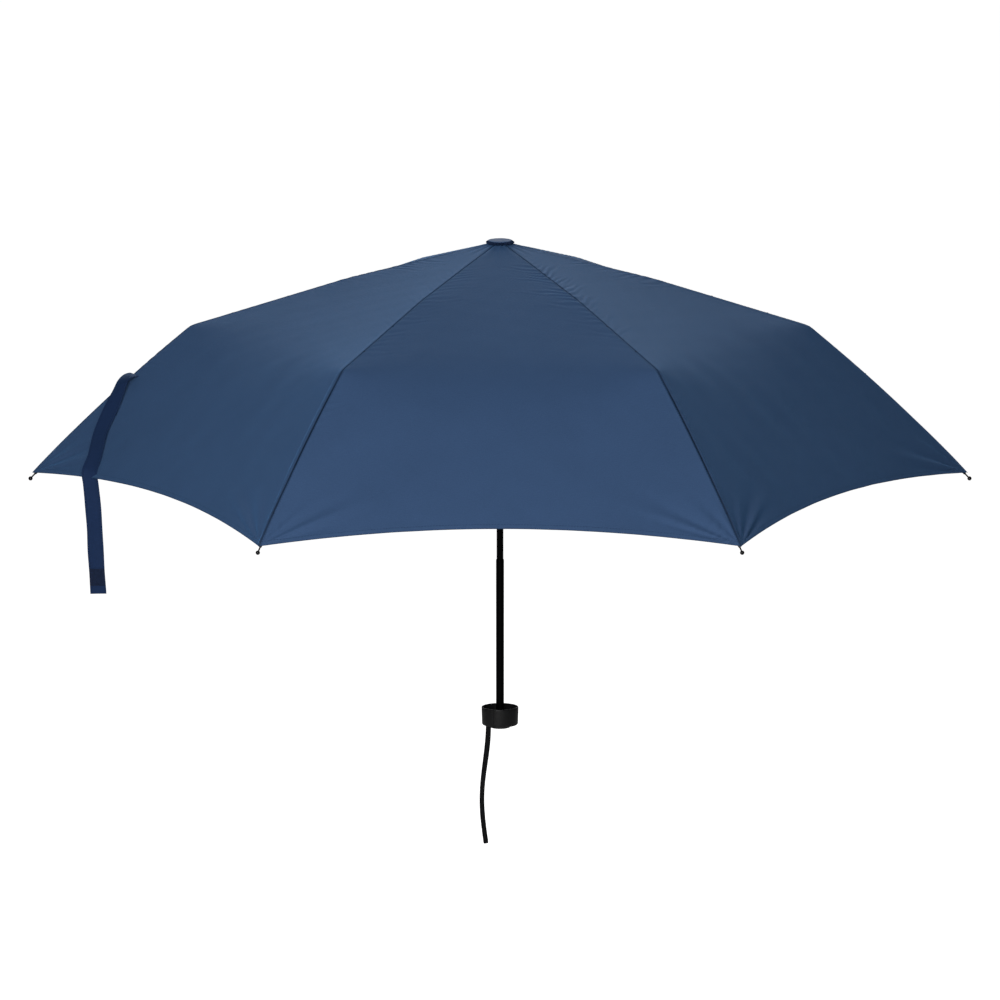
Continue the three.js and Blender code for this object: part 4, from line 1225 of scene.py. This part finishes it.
strut_slope = INNER_SLOPE + math.atan2(STRETCHER_DROP, STRETCHER_AT)
strut_length = math.hypot(STRETCHER_AT, STRETCHER_DROP)
tongue_half = 0.7 * MM
for rib in range(RIBS):
    number = rib + 1
    inner = rib_place(rib, CROWN, INNER_SLOPE)
    middle = rib_place(rib, FIRST, MIDDLE_SLOPE)
    outer = rib_place(rib, SECOND, OUTER_SLOPE)
    strut = rib_place(rib, STRUT, math.pi - strut_slope)

    build = Build()
    end = INNER_LENGTH
    plate(build, capsule((0, 0), (8 * MM, 0), RIB_HALF), -tongue_half, tongue_half, inner)
    channel(build, 6 * MM, end - 4.5 * MM, 0, RIB_HALF, inner)
    both_sides(build, capsule((end - 7 * MM, 0.1 * MM), (end, PIVOT_RISE), 1.2 * MM), inner)
    at, drop = STRETCHER_AT, STRETCHER_DROP
    bracket = rounded([(at - 4 * MM, -0.6 * MM, 0), (at - 1.3 * MM, -drop - 1 * MM, 1.1 * MM),
                       (at + 1.3 * MM, -drop - 1 * MM, 1.1 * MM), (at + 4 * MM, -0.6 * MM, 0)], 4)
    both_sides(build, bracket, inner)
    rivet(build, end, PIVOT_RISE, inner)
    rivet(build, at, -drop, inner)
    make_link(f"rib_inner_{number}", "rail", build, STEEL)

    build = Build()
    end = MIDDLE_LENGTH
    plate(build, capsule((0, 0), (6.5 * MM, -PIVOT_RISE), RIB_HALF), -tongue_half, tongue_half, middle)
    channel(build, 5 * MM, end - 6 * MM, -PIVOT_RISE, RIB_HALF, middle)
    both_sides(build, capsule((end - 8 * MM, -PIVOT_RISE - 0.1 * MM), (end, -2 * PIVOT_RISE), 1.2 * MM),
               middle)
    rivet(build, end, -2 * PIVOT_RISE, middle)
    make_link(f"rib_middle_{number}", "rail", build, STEEL)

    build = Build()
    plate(build, capsule((0, 0), (7 * MM, ROD_RISE), RIB_HALF), -tongue_half, tongue_half, outer)
    along = np.linspace(4 * MM, OUTER_LENGTH - BALL_NECK, 60)
    x, z = bow(along)
    path = np.stack([x, 0 * x, z], axis=1)
    sweep(build, path, directions(path, (0, 1, 0)), round_section(ROD_RADIUS, 16), outer)
    make_link(f"rib_outer_{number}", "rod", build, ROD)

    tied = [bow(OUTER_LENGTH * share) for share in (0.33, 0.8)]
    for link, spots, size, place in (
            ("outer", [(x, z + 0.9 * MM) for x, z in tied], (1.15 * MM, 1.9 * MM), outer),
            ("inner", [(x * MM, 1.2 * MM) for x in (40, 118)], (1.85 * MM, 2.3 * MM), inner),
            ("middle", [(x * MM, 0.1 * MM) for x in (60, 118)], (1.85 * MM, 2.4 * MM), middle)):
        build = Build()
        for x, z in spots:
            tie(build, x, z, size, place)
        make(f"rib_{link}_{number}_ties", build, THREAD, f"rib_{link}_{number}", (),
             weld=False, sharp=80)

    # the tip: a socket on the rod, a thin neck and a ball
    build = Build()
    neck = BALL_NECK
    ball = [(BALL_RADIUS * math.cos(math.radians(a)),
             neck + BALL_RADIUS * math.sin(math.radians(a))) for a in np.linspace(-64, 88, 12)]
    profile = [(1.05 * MM, 0.3 * MM), (1.05 * MM, -4 * MM), (1.3 * MM, -4 * MM), (1.45 * MM, -3.8 * MM),
               (1.45 * MM, 0.6 * MM), (1.25 * MM, 1.2 * MM),
               (0.85 * MM, 1.9 * MM), (0.75 * MM, 2.6 * MM),
               (0.75 * MM, neck - 1.9 * MM)] + ball + [(0, neck + BALL_RADIUS)]
    tip_x, tip_z = bow(OUTER_LENGTH - BALL_NECK)
    lean = OUTER_BOW * (OUTER_LENGTH - BALL_NECK / 2) / OUTER_LENGTH

    def tip_place(p, lean=lean, tip_x=tip_x, tip_z=tip_z, outer=outer):
        x, y, z = p[:, 2], p[:, 1], -p[:, 0]
        return outer(np.stack([tip_x + x * math.cos(lean) + z * math.sin(lean), y,
                               tip_z - x * math.sin(lean) + z * math.cos(lean)], axis=1))

    lathe(build, [(0, 0.3 * MM)] + profile, 28, closed=False, place=tip_place)
    make(f"rib_tip_{number}_ball", build, TIP, f"rib_outer_{number}", [f"rib_tip_{number}"],
         sharp=45)

    build = Build()
    end = strut_length
    plate(build, capsule((0, 0), (6.5 * MM, 0), RIB_HALF), -tongue_half, tongue_half, strut)
    channel(build, 5 * MM, end - 6 * MM, 0, 0.9 * MM, strut, opening=1)
    plate(build, capsule((end, 0), (end - 8 * MM, 0), RIB_HALF), -tongue_half, tongue_half, strut)
    make_link(f"stretcher_{number}", "rail", build, STEEL)

# ---------------------------------------------------------------- closure strap

STRAP_PANEL = 3
STRAP_WIDTH = 16.5 * MM
STRAP_HANG = 123 * MM


def catmull(points, count):
    """A centripetal Catmull-Rom curve through the points, evenly spaced."""
    points = np.asarray(points, float)
    points = np.concatenate([[2 * points[0] - points[1]], points, [2 * points[-1] - points[-2]]])
    out = []
    for i in range(1, len(points) - 2):
        p = points[i - 1:i + 3]
        knots = np.concatenate([[0], np.cumsum(np.sqrt(np.linalg.norm(np.diff(p, axis=0), axis=1)))])
        for s in np.linspace(knots[1], knots[2], 40, endpoint=False):
            a = [(knots[j + 1] - s) / (knots[j + 1] - knots[j]) * p[j]
                 + (s - knots[j]) / (knots[j + 1] - knots[j]) * p[j + 1] for j in range(3)]
            b = [(knots[j + 2] - s) / (knots[j + 2] - knots[j]) * a[j]
                 + (s - knots[j]) / (knots[j + 2] - knots[j]) * a[j + 1] for j in range(2)]
            out.append((knots[2] - s) / (knots[2] - knots[1]) * b[0]
                       + (s - knots[1]) / (knots[2] - knots[1]) * b[1])
    out.append(points[-2])
    out = np.array(out)
    along = np.concatenate([[0], np.cumsum(np.linalg.norm(np.diff(out, axis=0), axis=1))])
    at = np.linspace(0, along[-1], count)
    return np.stack([np.interp(at, along, out[:, k]) for k in range(3)], axis=1)


def strap_point(across, distance, lift):
    d, a = np.array([distance * MM]), np.array([float(across)])
    return (surface(STRAP_PANEL, d, a) + normal(STRAP_PANEL, d, a) * lift * MM)[0]


CROSSING = ((-0.975, 386, 0.8), (-0.965, 391, 5.2), (-0.945, 399, 7.6), (-0.9, 413, 6.6), (-0.83, 434, 6.0),
            (-0.745, 462, 5.6), (-0.63, 490, 5.0), (-0.577, 508, 4.4))
crossing = [strap_point(*c) for c in CROSSING]
last = crossing[-1]
hang = [last + np.array([0.075 * drop + 0.9 * MM * math.sin(drop / STRAP_HANG * 5), -1.2 * MM,
                         -drop]) for drop in (12 * MM, 30 * MM, 56 * MM, 82 * MM, STRAP_HANG)]
strap_path = catmull(crossing + hang, 150)
outward = normal(STRAP_PANEL, np.array([370 * MM]), np.array([-0.8]))[0]
down = np.linspace(0, 1, len(strap_path))
turn_out = (0.55 * smooth(down, 0.04, 0.16) + 0.45 * smooth(down, 0.38, 0.62))[:, None]
facing = outward * (1 - turn_out) + np.array([-0.25, -0.95, 0.1]) * turn_out
strap_side = np.cross(np.gradient(strap_path, axis=0), facing)
frames = directions(strap_path, strap_side)
thick = 0.42 * MM
w = STRAP_WIDTH / 2
outline = flat_section(w, -thick, thick, 0.4 * MM, 0.4 * MM, 4)
dense = []
for (x0, z0), (x1, z1) in zip(outline, np.roll(outline, -1, axis=0)):
    pieces = max(1, int(abs(x1 - x0) / (1.1 * MM)))
    dense += [(x0 + (x1 - x0) * k / pieces, z0 + (z1 - z0) * k / pieces) for k in range(pieces)]
dense = np.array(dense)
sections = []
for i in range(len(strap_path)):
    s = i / (len(strap_path) - 1)
    shape = dense.copy()
    cup_in = 0.55 * MM * math.sin(9 * s + 0.4) + 0.35 * MM * math.sin(23 * s)
    shape[:, 1] += cup_in * (1 - (shape[:, 0] / w) ** 2) + 0.25 * MM * math.sin(31 * s + 1.0) * shape[:,
            0] / w
    shape[:, 0] *= 1 - 0.05 * math.sin(math.pi * min(1, s * 6)) + 0.01 * math.sin(40 * s)
    sections.append(shape)
build = Build()
sweep(build, strap_path, frames, np.array(sections))
strap = make("closure_strap_cloth", build, STRAP_CLOTH, "closure_strap", ["closure_strap"],
             sharp=70)
strap_length = float(np.linalg.norm(np.diff(strap_path, axis=0), axis=1).sum())

total = len(strap_path) - 1
first = int(total * (1 - 25 * MM / strap_length))
final = int(total * (1 - 7 * MM / strap_length))
patch_path = strap_path[first:final + 1]
patch_frames = frames[0][first:final + 1], frames[1][first:final + 1]
low = thick - 0.05 * MM
high = thick + 1.25 * MM
pw = w - 0.7 * MM
shape = flat_section(pw, low, high, 0.1 * MM, 0.5 * MM, 3)
build = Build()
sweep(build, patch_path, patch_frames, shape)
patch = make("closure_patch_pile", build, PILE, "closure_strap", ["closure_patch"], sharp=60)
